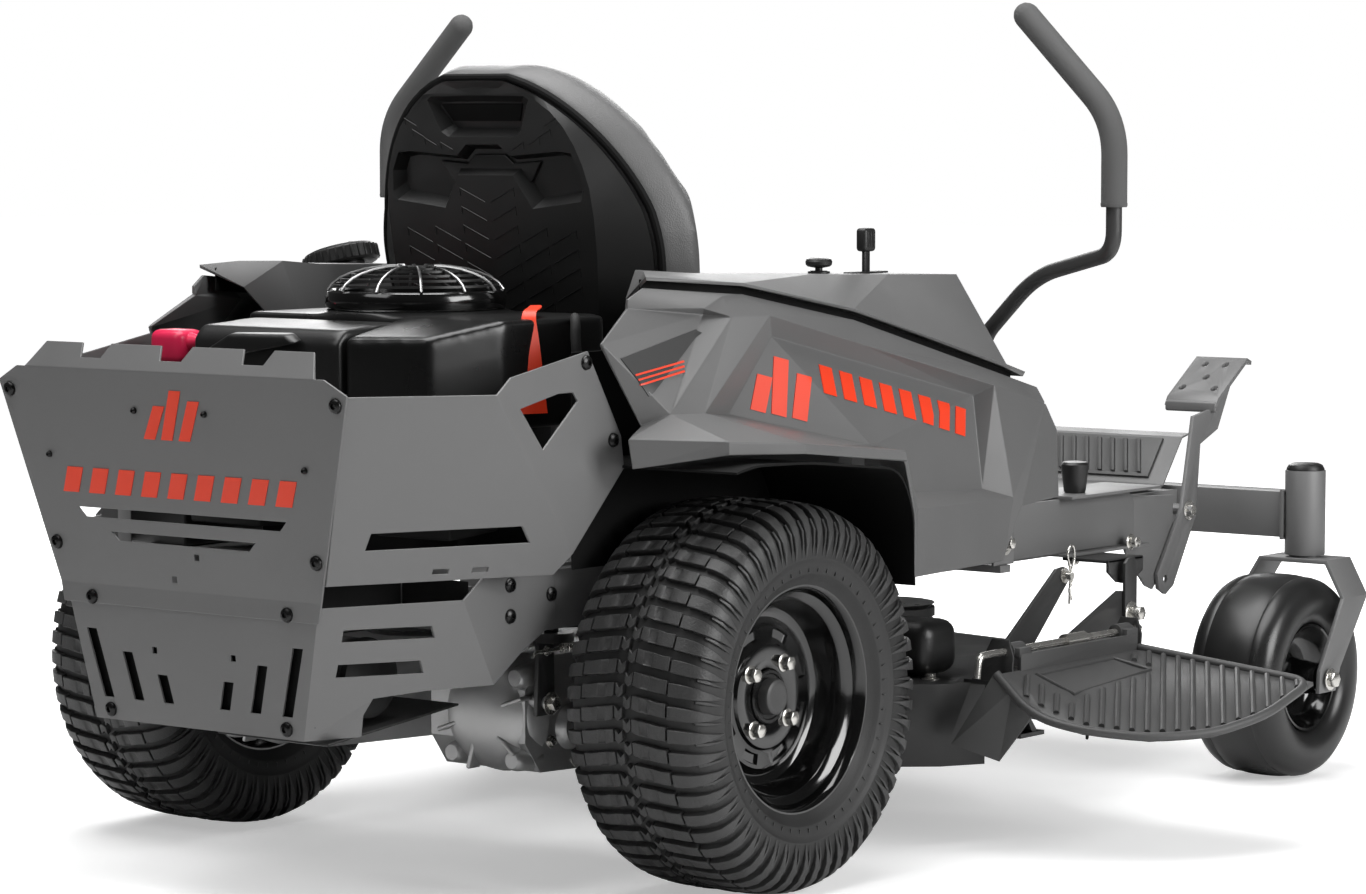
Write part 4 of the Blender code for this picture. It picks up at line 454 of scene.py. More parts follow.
# Fenders and consoles
for side, sign in SIDES:
    refined("fender_" + side, "chassis", FENDER, 0.003, 3, 8.0, 10.0)
    refined("console_" + side, "chassis", CONSOLE, 0.003, 3, 14.0)

    def mark(corners, lift=0.001):
        return inlay("fender_" + side, corners, lambda spot: (sign, spot[0], spot[1]), (-sign, 0, 0), lift)

    bars = []
    for y, low, high in ((0.028, 0.612, 0.044), (0.062, 0.605, 0.072), (0.096, 0.598, 0.056)):
        bars.append(mark(slanted((y, low), (y + 0.024, low - 0.006), high, 0.024)))
    for k in range(8):
        y = 0.16 + k * 0.0415
        low = 0.634 - 0.235 * (y - 0.13)
        bars.append(mark(slanted((y, low), (y + 0.026, low - 0.006), 0.036, 0.012)))
    done(bars, "fender_bars_" + side, "chassis", ORANGE)
    patch = [(-0.182, 0.684), (-0.15, 0.636), (-0.034, 0.711), (-0.038, 0.715)]
    done(mark(patch, 0.0013), "fender_patch_" + side, "chassis", PATCH)
    lines = []
    for k in range(3):
        ends = (-0.166 + 0.0025 * k, 0.662 - 0.006 * k), (-0.076 - 0.002 * k, 0.6755 - 0.006 * k)
        lines.append(mark(slanted(*ends, 0.0022, 0.0), 0.0021))
    done(lines, "fender_lines_" + side, "chassis", ORANGE)

    # Near-black sheets over the wheel arch and its inner wall, and a strip along the fender's top seam: painted shade
    # in the arch and in the gap under the console's overhang
    arch = [(-0.15, 0.545), (-0.11, 0.552), (0.0, 0.549), (0.2, 0.529), (0.231, 0.474), (0.2335, 0.376)]
    sheet = ribbon(*[bent([(x * sign, y, z) for y, z in arch], 0.03, 4) for x in (0.31, 0.559)], 0.003)
    seam = ((0.384, -0.1, 0.768), (0.425, 0.036, 0.758), (0.452, 0.243, 0.719), (0.465, 0.557, 0.638),
            (0.468, 0.62, 0.621))
    lip = ribbon(*[[((x - 0.016) * sign, y, z + rise) for x, y, z in seam] for rise in (-0.02, 0.011)], 0.0015)
    wall = plate(0.332 * sign, ((-0.19, 0.417), (-0.19, 0.69), (-0.06, 0.69), (-0.02, 0.549), (0.2, 0.529),
                                (0.231, 0.474), (0.2335, 0.417)), -0.003 * sign, 0.0008, 1)
    done([sheet, wall, lip], "arch_painted_shade_" + side, "chassis", SHADE_BLACK)

    near, far = sorted((0.482 * sign, 0.486 * sign))
    tab = brick((near, 0.53, 0.3722), (far, 0.58, 0.424), 0.0012)
    done(tab, "fender_tab_" + side, "chassis", POWDER)
    spot, out = Vector((0.4862 * sign, 0.556, 0.402)), (sign, 0, 0)
    ring = lathe([(0, 0), (0, 0.0165), (0.0022, 0.0165), (0.0022, 0)], spot, out, 28)
    head = bolt(spot + Vector((0.0022 * sign, 0, 0)), out, 0.0078, 0.011, 0.0115)
    done([ring, head], "fender_bolt_" + side, "chassis", ZINC)


# Small controls on the consoles
def console_top(run):
    """Height of the sloping top that far along the console"""
    return 0.787 - 0.02 * run / 0.75


lean = Vector((-math.sin(math.radians(17)), 0, math.cos(math.radians(17))))
cap_centre = Vector((-0.412, 0.201, 0.7855))
cap = [lathe([(-0.0137, 0), (-0.0137, 0.05), (-0.011, 0.0535), (0.006, 0.0535), (0.01, 0.05), (0.012, 0.044),
              (0.012, 0.033), (0.01, 0.03), (0.01, 0)], cap_centre, lean, 60)]
for k in range(30):
    rib = brick((-0.0018, 0.0505, -0.0115), (0.0018, 0.0552, 0.0072), 0.001)
    cap.append(aimed(spun(rib, k * math.tau / 30), cap_centre, lean))
grip_bar = brick((-0.03, -0.008, 0.0095), (0.03, 0.008, 0.016), 0.003, 3)
cap.append(aimed(grip_bar, cap_centre, lean))
done(cap, "fuel_cap_form", "fuel_cap_body", BLACK_PLASTIC, ("fuel_cap",))

top = console_top(0.575)
gate = [brick((x0, y0, top + 0.0002), (x1, y1, top + 0.003), 0.001)
        for x0, x1, y0, y1 in ((0.337, 0.3405, 0.383, 0.467), (0.3495, 0.353, 0.383, 0.467),
                               (0.3405, 0.3495, 0.383, 0.3885), (0.3405, 0.3495, 0.4615, 0.467))]
done(gate, "throttle_gate", "chassis", BLACK_PLASTIC)
stalk = brick((0.3422, 0.4185, top - 0.016), (0.3478, 0.4315, top + 0.036), 0.0015)
paddle = brick((0.3365, 0.4115, top + 0.03), (0.3535, 0.4385, top + 0.062), 0.005, 4)
ridges = [brick((0.3358, 0.4125 + k * 0.006, top + 0.037), (0.3542, 0.415 + k * 0.006, top + 0.057), 0.0008)
          for k in range(1, 4)]
done([stalk, paddle, *ridges], "throttle_form", "throttle", BLACK_PLASTIC, ("throttle_lever",))
knob_spot = (0.345, 0.316, console_top(0.466))
done(lathe([(0.0002, 0.0058), (0.0002, 0.015), (0.003, 0.015), (0.0042, 0.0125), (0.0042, 0.0058)], knob_spot,
           UP, 32, ring=True), "pto_collar", "chassis", BLACK_PLASTIC)
done(lathe([(-0.02, 0), (-0.02, 0.005), (0.0075, 0.005), (0.0095, 0.015), (0.012, 0.0176), (0.016, 0.0182),
            (0.0195, 0.0165), (0.0212, 0.012), (0.0208, 0.006), (0.02, 0)], knob_spot, UP, 36),
     "pto_knob_form", "pto_knob_body", BLACK_PLASTIC, ("pto_knob",))

# Rear wheels
REAR_TRACK, REAR_AXLE_Z = 0.915, 0.2508
LUGS = 54
LUG_ROOT, BAR_TALL, KNOB_TALL, FIN_TALL = 0.001, 0.0088, 0.0084, 0.0074
CARCASS = ((0.0, 0.242), (0.03, 0.2416), (0.06, 0.2402), (0.08, 0.2368), (0.093, 0.23), (0.101, 0.219),
           (0.1045, 0.205), (0.1055, 0.19), (0.1045, 0.178))


def tread_spot(lateral, angle, lift):
    """A point over the carcass: lateral is the way along it from the crown to the side wall"""
    for (x, r), (x1, r1) in zip(CARCASS, CARCASS[1:]):
        dx, dr = x1 - x, r1 - r
        size = math.hypot(dx, dr)
        if lateral <= size or (x1, r1) == CARCASS[-1]:
            break
        lateral -= size
    x, r = x + (dx * lateral - dr * lift) / size, r + (dr * lateral + dx * lift) / size
    turn = math.radians(angle)
    return Vector((r * math.cos(turn), r * math.sin(turn), x))


def lug(rows, high):
    """A tread block from rows of (lateral, first angle, last angle, share of the full height)"""
    shape = bmesh.new()
    edges, tops = [], []
    for end in (1, 2):
        line = []
        for row in rows:
            line.append(shape.verts.new(tread_spot(row[0], row[end], -LUG_ROOT)))
            tops.append(tread_spot(row[0], row[end], high * row[3]))
        edges += [shape.edges.new(pair) for pair in zip(line, line[1:])]
    feet = {tuple(vert.co): top for vert, top in zip(shape.verts, tops)}
    bmesh.ops.bridge_loops(shape, edges=edges)
    for vert in raised(shape, shape.faces[:]):
        vert.co = feet[tuple(vert.co)]
    return outward(shape)


def tyre_tread():
    """One pitch of blocks on both halves, spun round the tyre"""
    blocks = []
    for half in (1, -1):
        ahead = 180 / LUGS if half < 0 else 0.0
        bar = lug([(0.0145, -2.5, 1.3, 0.95), (0.026, -2.2, 2.0, 1.0), (0.04, -1.8, 2.3, 1.0), (0.053, -1.2, 2.7, 1.0),
                   (0.064, -1.1, 2.9, 1.0)], BAR_TALL)
        face = max((f for f in bar.faces if 0.026 < abs(f.calc_center_median().z) < 0.04
                    and f.calc_center_median().xy.length > 0.246), key=lambda f: f.calc_area())
        bmesh.ops.inset_individual(bar, faces=[face], thickness=0.003, depth=-0.002)
        wing = lug([(0.0665, -0.4, 3.4, 0.98), (0.078, -0.3, 3.6, 1.0), (0.09, 0.1, 3.9, 0.97), (0.102, 0.7, 4.1, 0.88),
                    (0.116, 1.5, 4.1, 0.7), (0.13, 2.4, 3.9, 0.45), (0.148, 3.2, 3.6, 0.12)], BAR_TALL)
        knob = lug([(0.0008, -2.3, 0.5, 0.85), (0.0065, -1.0, 1.7, 0.92), (0.0125, -2.6, 0.7, 0.85)], KNOB_TALL)
        fin = lug([(0.098, -2.6, -1.7, 0.5), (0.112, -2.3, -1.2, 0.58), (0.128, -1.6, -0.8, 0.42),
                   (0.15, -0.8, -0.5, 0.1)], FIN_TALL)
        for shape in (bar, wing, knob, fin):
            softened(shape, 0.0007, 1, 40.0)
            if half < 0:
                bmesh.ops.scale(shape, vec=(1, 1, -1), verts=shape.verts)
                bmesh.ops.reverse_faces(shape, faces=shape.faces)
            blocks.append(spun(shape, math.radians(ahead)))
        tick = brick((0.1625, -0.0008, 0.1008), (0.168, 0.0008, 0.1034), 0.0003, 1)
        bmesh.ops.scale(tick, vec=(1, 1, half), verts=tick.verts)
        blocks.append(outward(tick))
    tread = gathered(*blocks)
    bmesh.ops.spin(tread, geom=tread.verts[:] + tread.edges[:] + tread.faces[:], cent=ORIGIN, axis=UP,
                   dvec=ORIGIN, angle=math.tau * (LUGS - 1) / LUGS, steps=LUGS - 1, use_merge=False,
                   use_duplicate=True)
    return tread


half_tyre = [(0.079, 0.137), (0.085, 0.14), (0.0905, 0.147), (0.096, 0.156), (0.1, 0.159), (0.101, 0.161),
             (0.103, 0.17), (0.1045, 0.178), (0.1056, 0.179), (0.106, 0.181), (0.1054, 0.1825), *CARCASS[-2:0:-1]]
inner_tyre = [(0.0, 0.232), (0.05, 0.23), (0.086, 0.216), (0.093, 0.19), (0.074, 0.14)]
tyre_line = (half_tyre + [CARCASS[0]] + [(-x, r) for x, r in reversed(half_tyre)]
             + [(-x, r) for x, r in reversed(inner_tyre)] + inner_tyre[1:])
front_rim = [(0.085, 0.1468), (0.0872, 0.148), (0.0892, 0.1468), (0.089, 0.143), (0.0868, 0.1402), (0.08, 0.1372),
             (0.0735, 0.135), (0.07, 0.13), (0.0672, 0.1245), (0.064, 0.1225), (0.048, 0.1195), (0.037, 0.1165),
             (0.03, 0.113), (0.0266, 0.107), (0.0262, 0.101), (0.03, 0.096), (0.033, 0.0925), (0.0336, 0.088),
             (0.0336, 0.074), (0.0352, 0.069), (0.0392, 0.066), (0.0396, 0.062), (0.0396, 0.04), (0.038, 0.0362)]
back_rim = [(0.029, 0.0362), (0.029, 0.09), (0.022, 0.102), (0.02, 0.109), (-0.03, 0.113),
            (-0.062, 0.1225), (-0.0735, 0.135), (-0.0868, 0.1402), (-0.089, 0.143), (-0.0892, 0.1468),
            (-0.0872, 0.148), (-0.085, 0.1468), (-0.08, 0.14), (-0.062, 0.129), (0.062, 0.129), (0.08, 0.14)]
for side, sign in SIDES:
    body = "rear_wheel_" + side
    centre = Vector((REAR_TRACK / 2 * sign, 0, REAR_AXLE_Z))
    axis = (sign, 0, 0)
    done(lathe(tyre_line, centre, axis, 108, ring=True), "rear_tyre_form_" + side, body, TYRE, ("rear_tyre_" + side,),
         38.0)
    done(aimed(tyre_tread(), centre, axis), "rear_tread_" + side, body, TREAD, (), 30.0)
    rim = lathe(front_rim + back_rim, ORIGIN, UP, 64, ring=True)
    windows = []
    for face in rim.faces:
        spot = face.calc_center_median()
        angle = math.degrees(math.atan2(spot.y, spot.x)) % 45
        if spot.z > 0.031 and 0.074 < spot.xy.length < 0.088 and 11.5 < angle < 33.5:
            windows.append(face)
    bmesh.ops.inset_region(rim, faces=windows, thickness=0.0018, depth=0.0, use_even_offset=True)
    bmesh.ops.translate(rim, verts=list({v for f in windows for v in f.verts}), vec=(0, 0, -0.0035))
    done(aimed(rim, centre, axis), "rear_rim_form_" + side, body, GLOSS_BLACK, ("rear_rim_" + side,))
    hub = [(-0.2195, 0), (-0.2195, 0.0159), (-0.04, 0.0159), (-0.04, 0.032), (0.0197, 0.036), (0.0197, 0.066),
           (0.0285, 0.066), (0.0285, 0.0352), (0.04, 0.0352), (0.0416, 0.0335), (0.0416, 0.03), (0.04, 0.0285),
           (0.04, 0)]
    done(lathe(hub, centre, axis, 40), "rear_hub_form_" + side, body, BOLT, ("rear_hub_" + side,))
    done(lathe([(0.0395, 0), (0.0395, 0.024), (0.05, 0.0235), (0.053, 0.022), (0.0545, 0.0195), (0.0548, 0.016),
                (0.054, 0.008), (0.054, 0)], centre, axis, 40), "hub_cap_" + side, body, RUBBER)
    nuts = []
    for k in range(4):
        angle = math.radians(51.7 + 90 * k)
        spot = centre + Vector((0.0396 * sign, 0.0508 * math.cos(angle), 0.0508 * math.sin(angle)))
        nuts.append(bolt(spot, axis, 0.0098, 0.012, 0.0118))
    done(nuts, "lug_nuts_" + side, body, ZINC)

# Casters
for side, sign in SIDES:
    x = 0.51 * sign
    centre = Vector((x, 1.256, 0.1517))
    axis = (sign, 0, 0)
    half = [(0.048, 0.08), (0.056, 0.0815), (0.064, 0.087), (0.069, 0.096), (0.0715, 0.108), (0.0712, 0.12),
            (0.068, 0.132), (0.061, 0.1415), (0.052, 0.1468), (0.043, 0.1488), (0.0385, 0.1476), (0.0345, 0.1492),
            (0.022, 0.151), (0.01, 0.1516)]
    line = half + [(0, 0.1517)] + [(-a, r) for a, r in reversed(half)] + [(-0.05, 0.077), (0.05, 0.077)]
    spin = "caster_wheel_" + side
    done(lathe(line, centre, axis, 84, ring=True), "caster_tyre_form_" + side, spin, CASTER_TYRE,
         ("caster_tyre_" + side,))
    rim = [(0.052, 0.0766), (0.056, 0.08), (0.0585, 0.0796), (0.058, 0.0762), (0.052, 0.073), (0.042, 0.069),
           (0.03, 0.064), (0.024, 0.056), (0.022, 0.048), (0.024, 0.038), (0.03, 0.029), (0.06, 0.024),
           (0.077, 0.0215), (0.078, 0.0195), (0.078, 0.01)]
    line = rim + [(-a, r) for a, r in reversed(rim)]
    done(lathe(line, centre, axis, 56, ring=True), "caster_rim_form_" + side, spin, GLOSS_BLACK,
         ("caster_rim_" + side,))
    swivel = "caster_" + side
    refined("caster_fork_" + side, swivel, POWDER, 0.0012)
    ends = [bolt(centre + Vector((offset * 0.0948, 0, 0)), (offset, 0, 0), 0.0125, 0.01, 0.0165) for offset in (1, -1)]
    done(ends, "caster_axle_nuts_" + side, swivel, ZINC)
    done(lathe([(0.4538, 0), (0.4538, 0.0285), (0.456, 0.0285), (0.4615, 0.0255), (0.464, 0.02), (0.464, 0)],
               (x, 1.343, 0), UP, 36), "swivel_cap_" + side, swivel, BLACK_PLASTIC)

# Engine
refined("engine_block", "chassis", HEAT_BLACK, 0.003)
refined("battery", "chassis", BLACK_PLASTIC, 0.004, 3)
crank = Vector((0, -0.107, 0))
dome = [(0.115, 0.7575), (0.1085, 0.766), (0.098, 0.7735), (0.084, 0.7795), (0.066, 0.7845), (0.046, 0.7875),
        (0.028, 0.7885)]
done(lathe([(0.7354, 0.106), (0.7354, 0.1165), (0.74, 0.119), (0.75, 0.119), (0.756, 0.1165), (0.7585, 0.112),
            (0.756, 0.107)], crank, UP, 72, ring=True), "fan_guard_ring", "chassis", GLOSS_BLACK,
     ("fan_guard",))
rings = []
for radius, high in dome[1:]:
    section = [(high - 0.003, radius - 0.0012), (high - 0.003, radius + 0.0014), (high, radius + 0.001),
               (high, radius - 0.0014)]
    rings.append(lathe(section, crank, UP, 72, ring=True))
rings.append(lathe([(0.784, 0), (0.784, 0.029), (0.7875, 0.029), (0.789, 0.026), (0.789, 0)], crank, UP, 48))
done(rings, "fan_guard_rings", "chassis", BLACK_PLASTIC)
ribs = []
for k in range(12):
    angle = (k + 0.5) * math.tau / 12
    path = [crank + Vector((r * math.cos(angle), r * math.sin(angle), z + 0.0004)) for r, z in dome]
    ribs.append(pipe(path, 0.0021, 2))
done(ribs, "fan_guard_ribs", "chassis", STEEL)
duct = slab([(-0.127, -0.3525, 0.69), (-0.073, -0.3525, 0.684), (0.028, -0.3525, 0.702), (0.012, -0.3525, 0.712),
             (-0.088, -0.3525, 0.71)], (0, -0.018, -0.004), 0.004, 3)
done(duct, "air_cleaner_duct", "chassis", COVER)
done(lathe([(0.0, 0), (0.0, 0.04), (0.004, 0.0485), (0.012, 0.0495), (0.014, 0.0512), (0.018, 0.0512), (0.02, 0.0495),
            (0.34, 0.0495), (0.342, 0.0512), (0.346, 0.0512), (0.348, 0.0495), (0.356, 0.0485), (0.36, 0.04),
            (0.36, 0)], (-0.17, -0.405, 0.29), RIGHT, 48), "muffler_form", "chassis", HEAT_BLACK, ("muffler",))


def guard_back(x, z, gap):
    """A point behind the leaning lower guard"""
    return (x, -0.5303 + (0.3686 - z) * 0.078 + gap, z)


# Near-black sheets behind the lower guard's slots: painted shade, so the slots read dark
shade = slab([guard_back(x, z, 0.01) for x, z in ((-0.202, 0.345), (0.202, 0.345), (0.188, 0.24), (-0.188, 0.24))],
             (0, 0.002, 0), 0.0005, 1)
flank = brick((0.189, -0.5, 0.375), (0.1905, -0.354, 0.425), 0.0004, 1)
cross = brick((0.191, -0.353, 0.372), (0.299, -0.3515, 0.414), 0.0004, 1)
done([shade, flank, cross], "guard_painted_shade", "chassis", SHADE_BLACK)
deflector = slab([(0.02, -0.505, 0.222), (0.205, -0.505, 0.222), (0.205, -0.262, 0.246), (0.02, -0.262, 0.246)],
                 (0, 0, -0.003), 0.0008)
done(deflector, "exhaust_deflector", "chassis", HEAT_BLACK)
strap_edges = (bent([(0.196, -0.108, 0.7425), (0.228, -0.15, 0.7425), (0.246, -0.186, 0.738), (0.252, -0.194, 0.7),
                     (0.258, -0.204, 0.61)], 0.018),
               bent([(0.206, -0.098, 0.7425), (0.24, -0.138, 0.7425), (0.256, -0.172, 0.738), (0.264, -0.172, 0.7),
                     (0.272, -0.166, 0.61)], 0.018))
done(ribbon(*strap_edges, 0.0016), "engine_strap", "chassis", ORANGE)
hose = bent([(0.225, -0.06, 0.7), (0.272, -0.11, 0.735), (0.28, -0.12, 0.69), (0.286, -0.09, 0.56)], 0.03)
done(pipe(hose, 0.0065), "breather_hose", "chassis", BELT)
boot = brick((-0.34, -0.26, 0.6554), (-0.282, -0.208, 0.702), 0.012, 4)
neck = lathe([(0, 0), (0, 0.015), (0.01, 0.014), (0.026, 0.0085), (0.04, 0.0075), (0.04, 0)], (-0.296, -0.234, 0.684),
             (1, 0, 0.1), 24)
done([boot, neck], "terminal_boot", "chassis", CRIMSON)
lead = bent([(-0.257, -0.234, 0.688), (-0.232, -0.234, 0.69), (-0.222, -0.232, 0.66), (-0.214, -0.228, 0.56)], 0.03)
done(pipe(lead, 0.005), "battery_lead", "chassis", BELT)

# Drive
for side, sign in SIDES:
    refined("transaxle_" + side, "chassis", CASTING, 0.014, 4)
    horn = lathe([(-0.03, 0), (-0.03, 0.078), (-0.004, 0.07), (0.008, 0.06), (0.016, 0.047), (0.021, 0.03),
                  (0.023, 0.014), (0.0235, 0)], (0.196 * sign, -0.196, 0.226), BACK, 40)
    bosses = [horn]
    for x, z in ((0.136, 0.282), (0.252, 0.276), (0.146, 0.172), (0.246, 0.17)):
        bosses.append(lathe([(-0.03, 0), (-0.03, 0.017), (0.004, 0.0145), (0.012, 0.0125), (0.0145, 0.01), (0.015, 0)],
                            (x * sign, -0.194, z), BACK, 24))
    for angle in (20, 75, 130, 200, 255, 320):
        web = brick((0.03, -0.003, -0.012), (0.074, 0.003, 0.012), 0.0022, 3)
        bosses.append(aimed(spun(web, math.radians(angle)), (0.196 * sign, -0.202, 0.226), BACK))
    for y, z, wide in ((-0.11, 0.205, 0.026), (-0.06, 0.262, 0.02)):
        bosses.append(lathe([(-0.006, 0), (-0.006, wide * 1.4), (0.004, wide * 1.1), (0.01, wide), (0.014, wide * 0.85),
                             (0.015, 0)], (0.26 * sign, y, z), (sign, 0, 0), 28))
    done(bosses, "casing_bosses_" + side, "chassis", CASTING)
    studs = [bolt((sign * 0.2625, y, z), (sign, 0, 0), 0.006, 0.0055, 0.0088)
             for y, z in ((-0.15, 0.19), (-0.1, 0.16), (0.08, 0.16), (0.1, 0.22), (0.08, 0.28))]
    studs.append(bolt((sign * 0.2925, -0.185, 0.245), (sign, 0, 0), 0.0095, 0.009, 0.015))
    done(studs, "casing_bolts_" + side, "chassis", ZINC)
    refined("control_arm_" + side, "control_arm_body_" + side, DARK_POWDER, 0.0006)
    x = sign * 0.2875
    run = [coil((x, -0.16, 0.312), (x, -0.098, 0.311), 0.0052, 0.001, 11),
           pipe([(x, -0.205, 0.3115), (x, -0.08, 0.3115)], 0.0026),
           pipe(bent([(x, -0.205, 0.3115), (x, -0.212, 0.311), (x, -0.214, 0.304)], 0.004), 0.0026)]
    run += [bolt((sign * 0.2843, -0.184, 0.3115), (sign, 0, 0), 0.005, 0.004, 0.0072)]
    done(run, "arm_spring_" + side, "control_arm_body_" + side, ZINC)

# Levers
lever_run = [(0.362, 0.682, 0.612), (0.368, 0.676, 0.674), (0.476, 0.645, 0.765), (0.6465, 0.574, 0.802),
             (0.6465, 0.574, 0.864)]
grip_run = [(0.6465, 0.574, 0.8645), (0.6465, 0.574, 0.98), (0.496, 0.574, 1.13)]
for side, sign in SIDES:
    arm = [Vector((x * sign, y, z)) for x, y, z in lever_run]
    tube = [pipe(bent(arm, 0.05, 10), 0.011, 6),
            lathe([(-0.0165, 0.0065), (-0.0165, 0.0128), (0.0165, 0.0128), (0.0165, 0.0065)], arm[0], AHEAD, 28,
                  ring=True)]
    done(tube, "lever_tube_form_" + side, "lever_" + side, DARK_POWDER, ("lever_tube_" + side,))
    line = bent([Vector((x * sign, y, z)) for x, y, z in grip_run], 0.048, 10)
    tip = (line[-1] - line[-2]).normalized()
    foam = [pipe(line[:-1] + [line[-1] - tip * 0.012], 0.0178, 7),
            lathe([(-0.013, 0), (-0.013, 0.0177), (-0.009, 0.0172), (-0.004, 0.0152), (0.001, 0.0112),
                   (0.004, 0.0058), (0.0048, 0)], line[-1], tip, 32),
            lathe([(-0.0015, 0.0112), (-0.0015, 0.0172), (0.001, 0.0181), (0.004, 0.0181), (0.005, 0.0112)],
                  line[0], UP, 32, ring=True)]
    done(foam, "lever_grip_form_" + side, "lever_" + side, GRIP, ("lever_grip_" + side,))
    refined("lever_bracket_" + side, "lever_bracket_body_" + side, ZINC, 0.0008)
    clamp = [bolt(Vector((0.3715 * sign, 0.682 + off, 0.64)), (0, 1 if off > 0 else -1, 0), 0.0068, 0.0055, 0.009)
             for off in (0.0165, -0.0165)]
    done(clamp, "lever_bolts_" + side, "lever_" + side, ZINC)

# Foot controls
refined("lift_pedal", "pedal", POWDER, 0.0012)
done(brick((0.2972, 1.2838, 0.538), (0.3868, 1.2915, 0.5545), 0.0035, 4), "pedal_lip", "pedal", POWDER)
cheek = ((0.56, 0.3568), (0.56, 0.4352), (1.05, 0.4352), (1.068, 0.418), (1.068, 0.3568))
done(plate(0.3746, cheek, 0.0036, 0.001), "rail_cheek", "chassis", POWDER)
bracket = ((1.056, 0.4255), (1.056, 0.344), (1.076, 0.322), (1.113, 0.288), (1.133, 0.281), (1.15, 0.296),
           (1.19, 0.346), (1.19, 0.419))
done(plate(0.3664, bracket, 0.0044, 0.001), "pedal_bracket", "chassis", POWDER)
done(bolt((0.3785, 1.223, 0.394), RIGHT, 0.0095, 0.0075, 0.015), "pedal_nut", "chassis", ZINC)
knob_foot = 0.438 + 0.0023
done(lathe([(knob_foot, 0), (knob_foot, 0.015), (knob_foot + 0.003, 0.016), (knob_foot + 0.036, 0.02),
            (knob_foot + 0.041, 0.02), (knob_foot + 0.0445, 0.0175), (knob_foot + 0.0455, 0.012),
            (knob_foot + 0.0455, 0)], (0.365, 0.924, 0), UP, 40), "height_knob", "height_pin_body", BLACK_PLASTIC,
     ("height_pin",))
done(lathe([(0.335, 0), (0.335, 0.005), (0.338, 0.007), (knob_foot, 0.007), (knob_foot, 0)], (0.365, 0.924, 0),
           UP, 24), "height_pin_form", "height_pin_body", ZINC)
# The sliding strap, left on no body
strap = plate(0.4686, ((0.89, 0.252), (0.9, 0.244), (0.914, 0.244), (0.922, 0.254), (0.922, 0.346), (0.914, 0.354),
                       (0.9, 0.354), (0.89, 0.346)), 0.005, 0.001)
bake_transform(done(strap, "height_strap", None, DARK_POWDER))
lift_plate = plate(0.454, ((0.868, 0.3515), (0.962, 0.3515), (0.962, 0.33), (0.926, 0.312), (0.892, 0.318),
                            (0.868, 0.334)), 0.005, 0.001)
lift_foot = brick((0.38, 0.868, 0.3465), (0.459, 0.962, 0.3515), 0.0012)
done([lift_plate, lift_foot], "lift_bracket", "chassis", DARK_POWDER)
done(bolt((0.3952, 1.03, 0.362), RIGHT, 0.0085, 0.012, 0.012), "plate_bolt", "chassis", ZINC)

# Deck
refined("deck_shell", "deck", DARK_POWDER, 0.0012)
deck_bolts = [bolt((x, y, 0.2222), UP, 0.008, 0.007, 0.0125)
              for x, y in ((0.426, 0.844), (0.47, 0.629), (0.44, 0.445), (-0.43, 0.52), (-0.43, 0.88))]
done(deck_bolts, "deck_bolts", "deck", ZINC)
cover = slab([(0.345, 0.434, 0.2245), (0.44, 0.434, 0.2245), (0.44, 0.52, 0.2245), (0.345, 0.52, 0.2245)],
             (0, 0, 0.075), 0.022, 4)
done(cover, "belt_cover", "deck", BLACK_PLASTIC)
rod = bent([(0.555, 0.796, 0.268), (0.555, 0.392, 0.268), (0.555, 0.386, 0.238)], 0.012, 8)
sleeve = lathe([(0.6, 0.0052), (0.6, 0.0095), (0.65, 0.0095), (0.65, 0.0052)], (0.555, 0, 0.268), AHEAD, 28, ring=True)
done([pipe(rod, 0.005, 5), sleeve], "chute_rod_form", "deck", ZINC, ("chute_rod",))
loop = bent([(0.459, 0.764, 0.352), (0.459, 0.756, 0.372), (0.459, 0.772, 0.384), (0.459, 0.778, 0.366),
             (0.459, 0.766, 0.338), (0.459, 0.764, 0.298)], 0.01)
tail = [(0.459, 0.764, 0.352), (0.459, 0.772, 0.33), (0.459, 0.762, 0.318), (0.459, 0.77, 0.304)]
pins = [pipe(loop, 0.0018, 2), pipe(bent(tail, 0.006), 0.0018, 2),
        pipe([(0.438, 0.764, 0.338), (0.464, 0.764, 0.338)], 0.0055),
        lathe([(0, 0), (0, 0.011), (0.002, 0.011), (0.002, 0)], (0.4502, 0.764, 0.338), RIGHT, 24),
        bolt((0.4737, 0.906, 0.274), RIGHT, 0.0105, 0.018, 0.0165)]
done(pins, "hanger_pins", "deck", ZINC)

# Chute: moulded leaf with slanted ribs and a raised border
refined("discharge_chute", "chute", RUBBER, 0.0012)
along, across = Vector((0.517, -0.856, 0)), Vector((0.856, 0.517, 0))
ribs = []
for k in range(-9, 14):
    run, spans = [], []
    for step in range(-60, 61):
        spot = Vector((0.69, 0.6, 0.5)) + across * (k * 0.02) + along * (step * 0.006)
        where, normal = touch("discharge_chute", spot, DOWN)
        good = where is not None and normal.z > 0.6 and where.x > 0.584
        good = good and not (where.x < 0.655 and 0.47 < where.y < 0.68)
        if good and (not run or (where - run[-1]).length < 0.02):
            run.append(where + Vector((0, 0, 0.0014)))
        else:
            spans.append(run)
            run = [where] if good else []
    for run in spans + [run]:
        if len(run) > 7:
            ribs.append(pipe(run[2:-2], 0.004, 2))
done(ribs, "chute_ribs", "chute", RUBBER)
border = bent([(0.574, 0.404, 0.2445), (0.63, 0.404, 0.193), (0.7, 0.42, 0.177), (0.775, 0.466, 0.169),
               (0.83, 0.535, 0.172), (0.858, 0.625, 0.189), (0.863, 0.737, 0.222), (0.574, 0.764, 0.2445)], 0.035, 6)
done(pipe(border, 0.0062, 4), "chute_border", "chute", RUBBER)
frame_bar = [(0.59, 0.48), (0.648, 0.48), (0.648, 0.672), (0.59, 0.672)]
corners = [touch("discharge_chute", (x, y, 0.5), DOWN)[0] for x, y in frame_bar]
done(pipe(corners, 0.0036, 3, loop=True), "chute_recess_edge", "chute", RUBBER)


